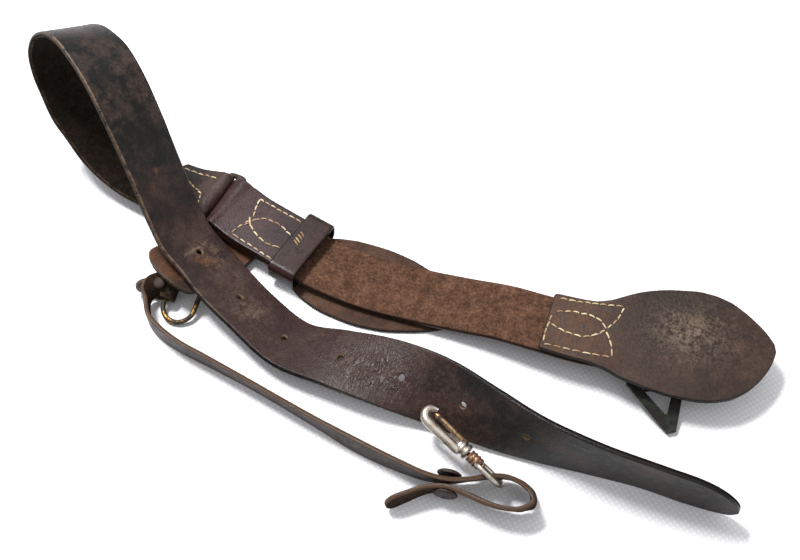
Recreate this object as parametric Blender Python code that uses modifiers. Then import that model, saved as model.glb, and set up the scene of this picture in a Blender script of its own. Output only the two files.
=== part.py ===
"""Old harness-leather carrying sling: a punched shoulder strap and a short strap on one joint ring,
a keeper, a teardrop end over an iron loop, and a narrow strap with a swivel snap hook."""

import math

import bmesh
import bpy
import numpy as np
from mathutils import Matrix, Vector

MM = 0.001

# Driving dimensions, mm
STRAP_WIDTH = 48.0
LEATHER = 4.0
NARROW_WIDTH = 18.0
NARROW_LEATHER = 3.2
GAP = 0.3
PLY = LEATHER + GAP
HOLE_DIAMETER = 5.0
HOLE_PITCH = 46.5
TIP_TO_FIRST_HOLE = 140.0
HOLE_COUNT = 7
JOINT_BAR = 4.4
FOLD_RADIUS = JOINT_BAR / 2 + 0.5 + LEATHER / 2
BAR_SPACING = 14.0
KEEPER_WIDTH = 22.0
KEEPER_LEATHER = 3.0
SAFE_LEATHER = 3.0
KEEPER_CLEARANCE = 2.3
LOOP_STRIP = 6.5
LOOP_PLATE = 2.6
LOOP_BAR_LENGTH = 39.0
LOOP_CHAPE_LEATHER = 2.8
LOOP_FOLD = 5.6
RING_CHAPE_LEATHER = 2.0
RING_WIRE = 3.8
EYE_WIRE = 3.6
THREAD = 1.0

# The bottom centre of the whole sling, where the origin goes, mm
ORIGIN = Vector((-19.0, -47.5, 0.0))

# The joint ring: its two bars, and the direction that they run in
BAR_CENTRE_A = Vector((-157.6, 12.0, 19.0))
BAR_CENTRE_B = BAR_CENTRE_A + Vector((BAR_SPACING, -1.5, 0.0))
BAR_ALONG = Vector((0.11, 0.99, 0.0)).normalized()

UP = (0.0, 0.0, 1.0)
COLUMN_TURN = math.radians(16)


def arc(centre, start, side, radius, degrees):
    """Points round a bar: from the start direction, turning towards the side direction."""
    points = []
    for angle in degrees:
        turn = math.radians(angle)
        spoke = math.cos(turn) * Vector(start) + math.sin(turn) * Vector(side)
        points.append(Vector(centre) + radius * spoke)
    return points


def stations(points, width):
    return [(*point, *width) for point in points]


HALF_TURN = (0, 45, 90, 135, 180)

# Each route is x, y, z of the leather's middle, mm, then the direction across it.
SHOULDER_ROUTE = [
    (-197, 15, 18.2, 1, 9, 0),
    (-177, 13.6, 18.6, 1, 9, 0),
    (-165, 12.6, 22.0, 1, 9, 0),
    *stations(arc(BAR_CENTRE_A, UP, (1, 0, 0), FOLD_RADIUS, HALF_TURN), (1, 9, 0)),
    (-165, 12.6, 14.0, 1, 9, 0),
    (-177, 13.6, 13.9, 1, 9, 0),
    (-207, 16, 13.5, 2, 9, 0),
    (-226, 20, 13.5, 12, 47, -3),
    (-244, 25, 17, 13, 46, -7),
    (-260, 31, 23, 12, 45, -11),
    (-274, 38, 33, 11, 45, -13),
    (-286, 44, 45, 11, 45, -13),
    (-294, 51, 61, 12, 45, -12),
    (-298, 56, 78, 15, 44, -11),
    (-296, 59, 95, 20, 43, -12),
    (-287, 59, 109, 22, 40, -15),
    (-273, 55, 118, 23, 38, -18),
    (-257, 47, 122, 22, 38, -19),
    (-242, 38, 120, 22, 40, -17),
    (-228, 28, 114, 20, 40, -17),
    (-204, 8, 92, 17, 42, -17),
    (-184, -10, 66, 14, 42, -18),
    (-164, -28, 42, 15, 42, -18),
    (-152, -37.5, 32, 15, 41, -17),
    (-136, -45, 24, 16, 40, -17),
    (-120, -54, 19, 17, 41, -16),
    (-87, -70, 12.5, 16, 42, -17),
    (-52, -84, 10, 11, 45, -12),
    (-16, -87, 16, 4, 48, -2),
    (21, -90, 22, 3, 46, 15),
    (58, -93, 23, 4, 35, 32),
    (95, -101, 24.5, 3, 22, 43),
    (131, -107, 26, 0, 7, 48),
    (169, -109, 26.5, 0, -3, 48),
    (208, -109, 25.5, 0, -7, 46),
    (236, -109, 22, 0, -7, 46),
    (262, -109, 13, -6, -7, 40),
]
SHORT_ROUTE = [
    (-79, -7, 16.6, -2, -9, 0),
    (-100, -2.5, 18.8, -2, -9, 0),
    (-122, 3, 20.8, -2, -9, 0),
    (-136, 8, 22.6, -1, -9, 0),
    *stations(arc(BAR_CENTRE_B, UP, (-1, 0.15, 0), FOLD_RADIUS, HALF_TURN), (-1, -9, 0)),
    (-136, 8, 15.0, -1, -9, 0),
    (-122, 3, 16.2, -2, -9, 0),
    (-100, -2.5, 14.2, -2, -9, 0),
    (-79, -7, 12.1, -2, -9, 0),
    (-62, -10.5, 9.8, -1, -9, 0),
    (-40, -13.5, 8.2, -1, -18, 0),
    (-20, -15, 7.7, 0, -1, 0),
    (25, -14, 8.3, 0, -1, 0),
    (57, -13.5, 12, 0, -1, 0),
    (83, -14, 17, 0, -1, 0),
    (110, -16, 20.2, 0, -1, 0),
    (140, -16, 21.4, 0, -20, -1),
    (166, -13, 22.1, 3, -20, -2),
]
TEARDROP_ROUTE = [
    (114, -16, 25.0, 0, 20, 0),
    (140, -16, 26.2, 0, 20, 1),
    (166, -13, 26.8, -3, 20, 2),
    (192, -8, 27.2, -4, 20, 2),
    (219, -3, 27.2, -4, 20, 2),
    (243, 4, 26.4, -5, 20, 2),
    (268, 12, 25.0, -5, 20, 1),
]
TAB_ROUTE = [
    (-128, 6, 8.6, 97, -20, 0),
    (-133, -17, 6.9, 97, -15, -6),
    (-141, -38, 11.8, 97, -15, -20),
    (-150, -57, 23.3, 96, -12, -24),
    (-156, -71, 27.0, 97, -5, -17),
]
SAFE_ROUTE = [
    (-84, -9, 1.9, 0, 1, 0),
    (-19, -14, 1.9, 0, 1, 0),
    (52, -15, 1.9, 0, 1, 0),
]

KEEPER_CENTRE = Vector((-75.0, -8.0, 14.6))
KEEPER_ALONG = Vector((21.0, -4.2, -2.2)).normalized()

# The brass ring: the middle of its bar, and the direction from the bar to its round end
RING_BAR_CENTRE = Vector((-143.0, -58.0, 13.6))
RING_DOWN = Vector((0.0, -32.5, -10.6)).normalized()
RING_HALF_WIDTH = 12.0
RING_LEG = 22.0
RING_BIGHT = Vector((-0.1, 0, 0.6)) + RING_BAR_CENTRE + Vector((-RING_HALF_WIDTH, 0, 0)) + 11.2 * RING_DOWN
RING_UP = Vector((1, 0, 0)).cross(-RING_DOWN).normalized()
BIGHT_RADIUS = RING_WIRE / 2 + 2.3 + NARROW_LEATHER / 2
ALONG_LEG = (0, 32.5, 10.6)

NARROW_ROUTE = [
    (-179, -76, 10.2, 1, -3, 9),
    (-171, -72, 9.4, 0, 1, 9),
    (-163, -68.6, 6.9, 0, 8, 5),
    *stations(arc(RING_BIGHT, -RING_UP, (1, 0, 0), BIGHT_RADIUS, HALF_TURN), ALONG_LEG),
    (-160.6, -72.0, 16.9, -1, 8, 4.5),
    (-164.6, -76.0, 15.0, -3, 3, 9),
    (-165.6, -82.0, 12.6, 0, 1, 9),
    (-162.5, -89.5, 10.6, 0, 1, 9),
    (-157, -97, 9.8, 0, 0, 1),
    (-146, -104, 9.7, 0, 0, 1),
    (-129, -110, 9.6, 0, -1, 12),
    (-102, -115.5, 9.6, 0, -1, 7),
    (-72, -121.5, 9.6, 0, -1, 5),
    (-41, -128.5, 9.6, 0, -1, 5),
    (-13, -135, 9.6, 0, -1, 7),
    (16, -141.5, 9.6, 0, 0, 1),
    (50, -146.5, 9.6, 0, -1, 12),
    (70, -148.2, 10.8, 0, -2, 9),
    (84, -146.9, 12.2, 0, -3, 9),
    (97, -142.0, 13.4, 0, -4, 9),
    (110, -135.8, 13.8, -1, -4, 9),
    (121, -133.2, 13.9, -1, -4, 9),
    (131, -135, 13.9, -1, -4, 9),
    (138, -142, 13.9, -1, -4, 9),
    (134, -151, 13.8, -1, -4, 9),
    (124, -155.2, 13.6, -1, -4, 9),
    (111, -154.6, 13.2, 0, -4, 9),
    (98, -152.4, 12.6, 0, -4, 9),
    (85, -151.8, 11.9, 0, -3, 9),
    (73, -156.0, 10.6, 0, -2, 9),
    (60, -166, 9.7, 0, -1, 9),
    (50, -175, 9.6, 0, 0, 1),
]

# The snap hook: its collar, the middle of its nose, and the side that its gate is on
COLLAR = Vector((87.8, -126.0, 18.0))
NOSE = Vector((54.0, -110.5, 24.5))
HOOK_ALONG = (NOSE - COLLAR).normalized()
HOOK_SIDE = Vector(UP).cross(-HOOK_ALONG).normalized()
HOOK_FACE = HOOK_SIDE.cross(HOOK_ALONG).normalized()
EYE_TILT = math.radians(27)
EYE_UP = math.cos(EYE_TILT) * HOOK_FACE - math.sin(EYE_TILT) * HOOK_SIDE
EYE_BASE = 12.5
EYE_LENGTH = 19.5
EYE_HALF_WIDTH = 12.2
BARREL_RADIUS = 4.4
STEM_RADIUS = 1.5
EYE_PIVOT = Vector((110.0, -135.8, 13.8))
BODY_RADIUS = 3.2
BODY_OFFSET = -3.4
NOSE_CENTRE = (29.5, 2.1)
NOSE_REACH = 6.2
GATE_RADIUS = 1.6
GATE_TIP = (30.4, 4.4)
GATE_PIN_AT = (3.4, 4.0)
GATE_PIN_RADIUS = 1.0
COLLAR_RADIUS = 5.6
COLLAR_ENDS = (-3.2, 6.2)
HOOK_STUD_X = 84.0
RING_STUD_X = -159.5
STUD_STEM = 1.5
STUD_HEAD = 4.4
STUD_SLACK = (2.2, 2.1)
STUD_TURN = (1, -1)

# The iron loop: the middle of its top bar and its apex
LOOP_BAR_CENTRE = Vector((196.5, -31.0, 14.3))
LOOP_APEX = Vector((215.0, -62.0, 2.6))
LOOP_DOWN = (LOOP_APEX - LOOP_BAR_CENTRE).normalized()
LOOP_ALONG = Vector((31.0, 18.5, 0.0)).normalized()


def material(name, colour, roughness, metallic):
    surface = bpy.data.materials.new(name)
    surface.use_nodes = True
    shader = surface.node_tree.nodes["Principled BSDF"]
    shader.inputs["Base Color"].default_value = (*colour, 1.0)
    shader.inputs["Roughness"].default_value = roughness
    shader.inputs["Metallic"].default_value = metallic
    surface.diffuse_color = (*colour, 1.0)
    return surface


def strap_leather():
    return material("strap_leather", (0.045, 0.026, 0.021), 0.42, 0.0)


def rough_leather():
    return material("rough_leather", (0.11, 0.047, 0.027), 0.85, 0.0)


def tan_leather():
    return material("tan_leather", (0.17, 0.065, 0.025), 0.7, 0.0)


def linen_thread():
    return material("linen_thread", (0.62, 0.55, 0.38), 0.85, 0.0)


def black_iron():
    return material("black_iron", (0.035, 0.036, 0.032), 0.5, 1.0)


def aged_brass():
    return material("aged_brass", (0.42, 0.27, 0.1), 0.38, 1.0)


def worn_nickel():
    return material("worn_nickel", (0.6, 0.56, 0.5), 0.3, 1.0)


def rusty_steel():
    return material("rusty_steel", (0.2, 0.1, 0.05), 0.7, 1.0)


class Route:
    """A smooth line through stations, with the direction across the leather at each point."""

    def __init__(self, rows):
        rows = np.array(rows, float)
        rows[:, 3:] /= np.linalg.norm(rows[:, 3:], axis=1)[:, None]
        knots = np.r_[0, np.cumsum(np.linalg.norm(np.diff(rows[:, :3], axis=0), axis=1))]
        slopes = np.gradient(rows, knots, axis=0)
        fine = np.linspace(0, knots[-1], 1600)
        span = np.clip(np.searchsorted(knots, fine, side="right") - 1, 0, len(knots) - 2)
        size = (knots[span + 1] - knots[span])[:, None]
        t = (fine - knots[span])[:, None] / size
        self.rows = (
            (2 * t**3 - 3 * t**2 + 1) * rows[span]
            + (t**3 - 2 * t**2 + t) * size * slopes[span]
            + (3 * t**2 - 2 * t**3) * rows[span + 1]
            + (t**3 - t**2) * size * slopes[span + 1]
        )
        steps = np.linalg.norm(np.diff(self.rows[:, :3], axis=0), axis=1)
        self.lengths = np.r_[0, np.cumsum(steps)]
        self.length = self.lengths[-1]

    def frame(self, along):
        """Middle, across and outward directions at distances along the line."""
        rows = np.stack([np.interp(along, self.lengths, self.rows[:, k]) for k in range(6)], 1)
        tangents = np.gradient(self.rows[:, :3], self.lengths, axis=0)
        tangent = np.stack([np.interp(along, self.lengths, tangents[:, k]) for k in range(3)], 1)
        tangent /= np.linalg.norm(tangent, axis=1)[:, None]
        across = rows[:, 3:] - (rows[:, 3:] * tangent).sum(1)[:, None] * tangent
        across /= np.linalg.norm(across, axis=1)[:, None]
        return rows[:, :3], across, np.cross(tangent, across)

    def columns(self, step):
        """Distances along the line for crosswise cuts: one each step, and closer together round a bend."""
        tangents = np.gradient(self.rows[:, :3], self.lengths, axis=0)
        tangents /= np.linalg.norm(tangents, axis=1)[:, None]
        turns = np.arccos(np.clip((tangents[1:] * tangents[:-1]).sum(1), -1, 1))
        measure = np.r_[0, np.cumsum(np.diff(self.lengths) / step + turns / COLUMN_TURN)]
        return np.interp(np.linspace(0, measure[-1], math.ceil(measure[-1]) + 1), measure, self.lengths)

    def bend(self, points):
        """Carries points cut flat, as along, across and outward, onto the line."""
        middle, across, outward = self.frame(points[:, 0])
        return middle + points[:, 1:2] * across + points[:, 2:3] * outward


def half_width(profile, along):
    """Half the width at distances along the piece, between (distance, half width) pairs."""
    places, halves = zip(*profile)
    return np.interp(along, places, halves)


def rounded_ends(length, half, first, last):
    """A strap outline with elliptical ends: first and last are their depths."""
    pairs = []
    turns = [math.radians(degrees) for degrees in (8, 25, 45, 65, 90)]
    for turn in turns:
        pairs.append((first * (1 - math.cos(turn)), half * math.sin(turn)))
    for turn in reversed(turns):
        pairs.append((length - last * (1 - math.cos(turn)), half * math.sin(turn)))
    pairs[0] = (0.0, pairs[0][1])
    pairs[-1] = (length, pairs[-1][1])
    return pairs


def add_mesh(name, mesh, surface, collection):
    obj = bpy.data.objects.new(name, mesh)
    obj.data.materials.append(surface)
    collection.objects.link(obj)
    return obj


def apply_modifiers(obj):
    graph = bpy.context.evaluated_depsgraph_get()
    mesh = bpy.data.meshes.new_from_object(obj.evaluated_get(graph))
    obj.modifiers.clear()
    obj.data = mesh


def metres(points):
    return (np.asarray(points) - np.array(ORIGIN)) * MM


def strap(name, route, profile, thickness, surface, collection, step=8.0, holes=()):
    """A leather piece: a grid cut to its outline, thickened, punched flat and then bent onto its route."""
    places = route.columns(step)
    sheet = bmesh.new()
    bmesh.ops.create_grid(sheet, x_segments=len(places) - 1, y_segments=2, size=1.0)
    along = places[[round((vertex.co.x + 1) / 2 * (len(places) - 1)) for vertex in sheet.verts]]
    halves = half_width(profile, along)
    for vertex, distance, half in zip(sheet.verts, along, halves):
        vertex.co = Vector((distance, vertex.co.y * half, 0.0))
    mesh = bpy.data.meshes.new(name)
    sheet.to_mesh(mesh)
    sheet.free()
    obj = add_mesh(name, mesh, surface, collection)
    solid = obj.modifiers.new("thickness", "SOLIDIFY")
    solid.thickness = thickness
    solid.offset = 0.0
    solid.use_even_offset = False
    if holes:
        combine(obj, punches(name + "_punches", holes, thickness), "DIFFERENCE")
    bpy.context.view_layer.update()
    apply_modifiers(obj)
    shape = bmesh.new()
    shape.from_mesh(obj.data)
    bmesh.ops.triangulate(shape, faces=shape.faces)
    bmesh.ops.recalc_face_normals(shape, faces=shape.faces)
    flat = np.array([vertex.co for vertex in shape.verts])
    for vertex, place in zip(shape.verts, metres(route.bend(flat))):
        vertex.co = place
    shape.to_mesh(obj.data)
    shape.free()
    return obj


def punches(name, holes, thickness):
    """Round cutters at (along, across, diameter) on the flat sheet."""
    tool = bmesh.new()
    for along, across, diameter in holes:
        place = Matrix.Translation((along, across, 0.0))
        bmesh.ops.create_cone(
            tool, cap_ends=True, segments=14, radius1=diameter / 2, radius2=diameter / 2,
            depth=thickness * 3, matrix=place,
        )
    mesh = bpy.data.meshes.new(name)
    tool.to_mesh(mesh)
    tool.free()
    return bpy.data.objects.new(name, mesh)


def tube(name, points, radius, surface, collection, closed=False, resolution=2):
    """A round bar or wire through points, mm, as a bevelled curve."""
    curve = bpy.data.curves.new(name, "CURVE")
    curve.dimensions = "3D"
    curve.bevel_depth = radius * MM
    curve.bevel_resolution = resolution
    curve.use_fill_caps = not closed
    spline = curve.splines.new("POLY")
    spline.points.add(len(points) - 1)
    for knot, place in zip(spline.points, metres([tuple(point) for point in points])):
        knot.co = (*place, 1.0)
    spline.use_cyclic_u = closed
    return add_mesh(name, curve, surface, collection)


def frame_matrix(origin, x, y, z):
    """Places a shape built along x, y and z, in mm, at an origin in the sling."""
    turn = Matrix((x, y, z)).transposed().to_4x4()
    place = Matrix.Translation((Vector(origin) - ORIGIN) * MM)
    return place @ turn @ Matrix.Diagonal((MM, MM, MM, 1.0))


def rod(name, start, end, radius, surface, collection, segments=20):
    """A plain cylinder between two points, mm."""
    start = Vector(start)
    end = Vector(end)
    solid = bmesh.new()
    bmesh.ops.create_cone(
        solid, cap_ends=True, segments=segments, radius1=radius, radius2=radius, depth=(end - start).length
    )
    mesh = bpy.data.meshes.new(name)
    solid.to_mesh(mesh)
    solid.free()
    obj = add_mesh(name, mesh, surface, collection)
    turn = (end - start).normalized().to_track_quat("Z", "Y").to_matrix().to_4x4()
    middle = ((start + end) / 2 - ORIGIN) * MM
    mesh.transform(Matrix.Translation(middle) @ turn @ Matrix.Diagonal((MM, MM, MM, 1.0)))
    return obj


def welded(obj):
    """Joins points that coincide and faces everything outwards."""
    tidy = bmesh.new()
    tidy.from_mesh(obj.data)
    bmesh.ops.remove_doubles(tidy, verts=tidy.verts, dist=0.0001)
    bmesh.ops.recalc_face_normals(tidy, faces=tidy.faces)
    tidy.to_mesh(obj.data)
    tidy.free()


def turned(name, profile, base, axis, surface, collection, segments=24):
    """A turned solid: (radius, height) pairs spun round an axis from its base, mm."""
    outline = bmesh.new()
    corners = [outline.verts.new((radius, 0.0, height)) for radius, height in profile]
    for first, second in zip(corners, corners[1:]):
        outline.edges.new((first, second))
    mesh = bpy.data.meshes.new(name)
    outline.to_mesh(mesh)
    outline.free()
    obj = add_mesh(name, mesh, surface, collection)
    spin = obj.modifiers.new("spin", "SCREW")
    spin.steps = segments
    spin.render_steps = segments
    spin.use_merge_vertices = True
    spin.merge_threshold = 0.0001
    spin.use_normal_calculate = True
    bpy.context.view_layer.update()
    apply_modifiers(obj)
    welded(obj)
    turn = Vector(axis).normalized().to_track_quat("Z", "Y").to_matrix().to_4x4()
    place = Matrix.Translation((Vector(base) - ORIGIN) * MM)
    obj.data.transform(place @ turn @ Matrix.Diagonal((MM, MM, MM, 1.0)))
    return obj


def combine(obj, other, operation):
    """Joins another solid to this one, or cuts it away, and keeps the other as a cutter."""
    if other.type != "MESH":
        graph = bpy.context.evaluated_depsgraph_get()
        mesh = bpy.data.meshes.new_from_object(other.evaluated_get(graph))
        name = other.name
        bpy.data.objects.remove(other)
        other = bpy.data.objects.new(name, mesh)
    for holder in list(other.users_collection):
        holder.objects.unlink(other)
    cutters.objects.link(other)
    other.hide_render = True
    other.display_type = "WIRE"
    step = obj.modifiers.new(other.name, "BOOLEAN")
    step.operation = operation
    step.solver = "EXACT"
    step.object = other


def solidified(obj):
    """Turns a curve object into a mesh object, so that Booleans can work on it."""
    graph = bpy.context.evaluated_depsgraph_get()
    mesh = bpy.data.meshes.new_from_object(obj.evaluated_get(graph))
    name = obj.name
    surface = obj.data.materials[0]
    holder = obj.users_collection[0]
    bpy.data.objects.remove(obj)
    mesh.materials.clear()
    return add_mesh(name, mesh, surface, holder)


def finished(obj):
    """Applies the Booleans and leaves clean triangles."""
    bpy.context.view_layer.update()
    apply_modifiers(obj)
    tidy = bmesh.new()
    tidy.from_mesh(obj.data)
    bmesh.ops.triangulate(tidy, faces=tidy.faces)
    bmesh.ops.recalc_face_normals(tidy, faces=tidy.faces)
    tidy.to_mesh(obj.data)
    tidy.free()
    return obj


def pivot(obj, place):
    """Moves an object's origin onto its joint, leaving its shape where it is."""
    spot = (Vector(place) - ORIGIN) * MM
    obj.data.transform(Matrix.Translation(-spot))
    obj.location = spot
    return obj


def straps(sling):
    half = STRAP_WIDTH / 2
    shoulder = Route(SHOULDER_ROUTE)
    outline = rounded_ends(shoulder.length, half, 6.0, 40.0)
    first = shoulder.length - TIP_TO_FIRST_HOLE
    holes = [(first - number * HOLE_PITCH, 0.0, HOLE_DIAMETER) for number in range(HOLE_COUNT)]
    strap("shoulder_strap", shoulder, outline, LEATHER, strap_leather(), sling, step=7.5, holes=holes)

    short = Route(SHORT_ROUTE)
    outline = rounded_ends(short.length, half - 0.5, 4.0, 4.0)
    strap("short_strap", short, outline, LEATHER, rough_leather(), sling, step=5.0)

    teardrop = Route(TEARDROP_ROUTE)
    outline = [(0, 23), (2, 24), (30, 24.5), (42, 27), (55, 32.5), (70, 37.5), (88, 41), (105, 42)]
    outline += [(118, 40), (130, 35), (140, 28), (148, 20), (153, 13), (teardrop.length, 5)]
    strap("teardrop_end", teardrop, outline, LEATHER, strap_leather(), sling, step=5.0)

    tab = Route(TAB_ROUTE)
    outline = rounded_ends(tab.length, half, 4.0, 9.0)
    strap("tab", tab, outline, LEATHER, tan_leather(), sling, step=5.0)

    safe = Route(SAFE_ROUTE)
    outline = [(0, 14), (12, 24), (26, 31), (44, 35), (64, 36), (84, 34), (102, 29), (120, 22)]
    outline += [(safe.length, 12)]
    strap("safe", safe, outline, SAFE_LEATHER, rough_leather(), sling, step=8.0)


def joint_ring(sling):
    """A rectangular steel ring: two bars, one inside each fold."""
    reach = STRAP_WIDTH / 2 + JOINT_BAR / 2 + 1.8
    corner = 4.0
    middle = (BAR_CENTRE_A + BAR_CENTRE_B) / 2
    across = (BAR_CENTRE_B - BAR_CENTRE_A).normalized()
    points = []
    for side, turn in ((1, 1), (1, -1), (-1, -1), (-1, 1)):
        centre = middle + across * side * (BAR_SPACING / 2 - corner) + BAR_ALONG * turn * (reach - corner)
        angles = (0, 22.5, 45, 67.5, 90) if side * turn > 0 else (90, 67.5, 45, 22.5, 0)
        for angle in angles:
            bend = math.radians(angle)
            points.append(centre + corner * (across * side * math.sin(bend) + BAR_ALONG * turn * math.cos(bend)))
    tube("joint_ring", points, JOINT_BAR / 2, rusty_steel(), sling, closed=True)


def keeper(sling):
    """A leather loop round both layers of the short strap, free to slide along it."""
    along = KEEPER_ALONG
    side = Vector(UP).cross(along).normalized()
    rise = along.cross(side).normalized()
    half_x = STRAP_WIDTH / 2 + KEEPER_CLEARANCE
    half_z = (2 * LEATHER + GAP) / 2 + 1.6
    corner = 2.4
    loop = bmesh.new()
    ring = []
    for cx, cz, start in ((1, 1, 0), (-1, 1, 90), (-1, -1, 180), (1, -1, 270)):
        for step in range(5):
            angle = math.radians(start + 22.5 * step)
            x = cx * (half_x - corner) + corner * math.cos(angle)
            z = cz * (half_z - corner) + corner * math.sin(angle)
            ring.append(loop.verts.new((-KEEPER_WIDTH / 2, x, z)))
    edges = [loop.edges.new((ring[k], ring[(k + 1) % len(ring)])) for k in range(len(ring))]
    wall = bmesh.ops.extrude_edge_only(loop, edges=edges)
    moved = [part for part in wall["geom"] if isinstance(part, bmesh.types.BMVert)]
    bmesh.ops.translate(loop, verts=moved, vec=(KEEPER_WIDTH, 0, 0))
    bmesh.ops.recalc_face_normals(loop, faces=loop.faces)
    mesh = bpy.data.meshes.new("keeper")
    loop.to_mesh(mesh)
    loop.free()
    obj = add_mesh("keeper", mesh, strap_leather(), sling)
    wall = obj.modifiers.new("leather", "SOLIDIFY")
    wall.thickness = KEEPER_LEATHER
    wall.offset = 1.0
    finished(obj)
    obj.data.transform(frame_matrix(KEEPER_CENTRE, along, side, rise))
    pivot(obj, KEEPER_CENTRE)


def iron_loop(sling):
    """A triangle of flat strip under the teardrop, and the chape that holds its top bar."""
    height = (LOOP_APEX - LOOP_BAR_CENTRE).length
    outline = bpy.data.curves.new("iron_loop", "CURVE")
    outline.dimensions = "2D"
    outline.fill_mode = "BOTH"
    outline.extrude = LOOP_PLATE / 2
    half = LOOP_BAR_LENGTH / 2
    inner_half = half - LOOP_STRIP * 1.05
    shapes = (
        [(-half - 2, 2.2), (-half - 1, 3.0), (half + 1, 3.0), (half + 2, 2.2), (half + 2, 0),
         (4.0, -height + 1.4), (2.0, -height + 0.3), (0, -height), (-2.0, -height + 0.3), (-4.0, -height + 1.4),
         (-half - 2, 0)],
        [(-inner_half, -3.0), (inner_half, -3.0), (1.0, -height + 13.5), (-1.0, -height + 13.5)],
    )
    for shape in shapes:
        spline = outline.splines.new("POLY")
        spline.points.add(len(shape) - 1)
        for knot, (x, y) in zip(spline.points, shape):
            knot.co = (x, y, 0.0, 1.0)
        spline.use_cyclic_u = True
    obj = finished(solidified(add_mesh("iron_loop", outline, black_iron(), sling)))
    welded(obj)
    obj.data.transform(frame_matrix(LOOP_BAR_CENTRE, LOOP_ALONG, -LOOP_DOWN, LOOP_ALONG.cross(-LOOP_DOWN)))
    pivot(obj, LOOP_BAR_CENTRE)

    back = Vector((-LOOP_ALONG.y, LOOP_ALONG.x, 0.0))
    width = tuple(-LOOP_ALONG)
    radius = LOOP_FOLD
    ply = LOOP_CHAPE_LEATHER + GAP
    rows = [
        (*(LOOP_BAR_CENTRE + back * 26 + Vector((0, 0, radius + 1.5))), *width),
        (*(LOOP_BAR_CENTRE + back * 12 + Vector((0, 0, radius + 0.3))), *width),
        *stations(arc(LOOP_BAR_CENTRE, UP, -back, radius, HALF_TURN), width),
        (*(LOOP_BAR_CENTRE + back * 9 + Vector((0, 0, radius - 1.6 * ply))), *width),
        (*(LOOP_BAR_CENTRE + back * 16 + Vector((0, 0, radius + 0.6 - ply))), *width),
        (*(LOOP_BAR_CENTRE + back * 26 + Vector((0, 0, radius + 1.5 - ply))), *width),
    ]
    chape = Route(rows)
    outline = rounded_ends(chape.length, 9.6, 3.0, 3.0)
    strap("iron_loop_chape", chape, outline, LOOP_CHAPE_LEATHER, strap_leather(), sling, step=3.0)


def brass_ring(sling):
    """A D of brass wire: a bar, two legs and a round end, with the leather that holds its bar."""
    side = Vector((1, 0, 0))
    half = RING_HALF_WIDTH
    points = []
    for degrees in range(0, 181, 15):
        turn = math.radians(degrees)
        points.append(
            RING_BAR_CENTRE + RING_DOWN * (RING_LEG + half * math.sin(turn)) + side * half * math.cos(turn)
        )
    for corner_side, angles in ((-1, (0, 30, 60, 90)), (1, (90, 60, 30, 0))):
        centre = RING_BAR_CENTRE + RING_DOWN * 3.5 + side * corner_side * (half - 3.5)
        for angle in angles:
            turn = math.radians(angle)
            points.append(centre + 3.5 * (side * corner_side * math.cos(turn) - RING_DOWN * math.sin(turn)))
    obj = solidified(tube("brass_ring", points, RING_WIRE / 2, aged_brass(), sling, closed=True))
    pivot(obj, RING_BAR_CENTRE)

    radius = RING_WIRE / 2 + 0.5 + RING_CHAPE_LEATHER / 2
    middle = RING_BAR_CENTRE + Vector((-0.3, 0, 0))
    width = (1, 0, 0)
    upper = [middle + Vector(place) for place in ((0, 16, -5.8), (0, 12, -3.8), (0, 6, -0.2))]
    lower = [middle + Vector(place) for place in ((0, 4.5, -3.0), (0, 8, -4.6), (0, 12, -6.7), (0, 16, -8.8))]
    fold = arc(middle, UP, (0, -1, 0), radius, HALF_TURN)
    rows = stations([*upper, *fold, *lower], width)
    chape = Route(rows)
    outline = rounded_ends(chape.length, 3.8, 2.0, 2.0)
    strap("brass_ring_chape", chape, outline, RING_CHAPE_LEATHER, tan_leather(), sling, step=2.4)


def narrow_strap(sling):
    route = Route(NARROW_ROUTE)
    outline = rounded_ends(route.length, NARROW_WIDTH / 2, 5.0, 9.0)
    spots = [stud_spot(route, HOOK_STUD_X), stud_spot(route, RING_STUD_X)]
    holes = []
    for spot in spots:
        holes += [(distance, 0.0, 5.0) for distance in spot[2]]
    strap("narrow_strap", route, outline, NARROW_LEATHER, strap_leather(), sling, step=3.6, holes=holes)
    names = ("hook_stud", "ring_stud")
    for name, slack, turn, (middle, axis, _, gap) in zip(names, STUD_SLACK, STUD_TURN, spots):
        reach = gap / 2 + NARROW_LEATHER / 2 + slack
        stem = STUD_STEM
        profile = [(0, -reach - 1.8), (2.6, -reach - 1.6), (3.9, -reach - 0.9), (STUD_HEAD, -reach), (stem, -reach)]
        profile += [(stem, reach + 1.0), (0, reach + 1.0)]
        turned(name, profile, middle, axis * turn, aged_brass(), sling, segments=20)
        hole = stem + GAP
        washer = [(hole, reach), (4.0, reach), (4.0, reach + 0.8), (hole, reach + 0.8), (hole, reach)]
        turned(name + "_washer", washer, middle, axis * turn, aged_brass(), sling, segments=20)


def stud_spot(route, x):
    """Where both layers of the narrow strap pass a given x: the point between them, and the way through."""
    inside = route.rows[:, 1] < -66 if x < 0 else route.rows[:, 1] < -140
    crossings = []
    for k in range(len(route.rows) - 1):
        before, after = route.rows[k, 0] - x, route.rows[k + 1, 0] - x
        if inside[k] and before * after <= 0 and before != after:
            crossings.append(route.lengths[k])
    first, second = crossings[0], crossings[1]
    middles, across, outward = route.frame(np.array([first, second]))
    through = Vector(middles[1] - middles[0])
    return (Vector(middles[0]) + Vector(middles[1])) / 2, through.normalized(), (first, second), through.length


def on_hook(along, side=0.0, face=0.0):
    """A point from the hook's collar: towards its nose, its gate side and its upper face, mm."""
    return COLLAR + HOOK_ALONG * along + HOOK_SIDE * side + HOOK_FACE * face


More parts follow.
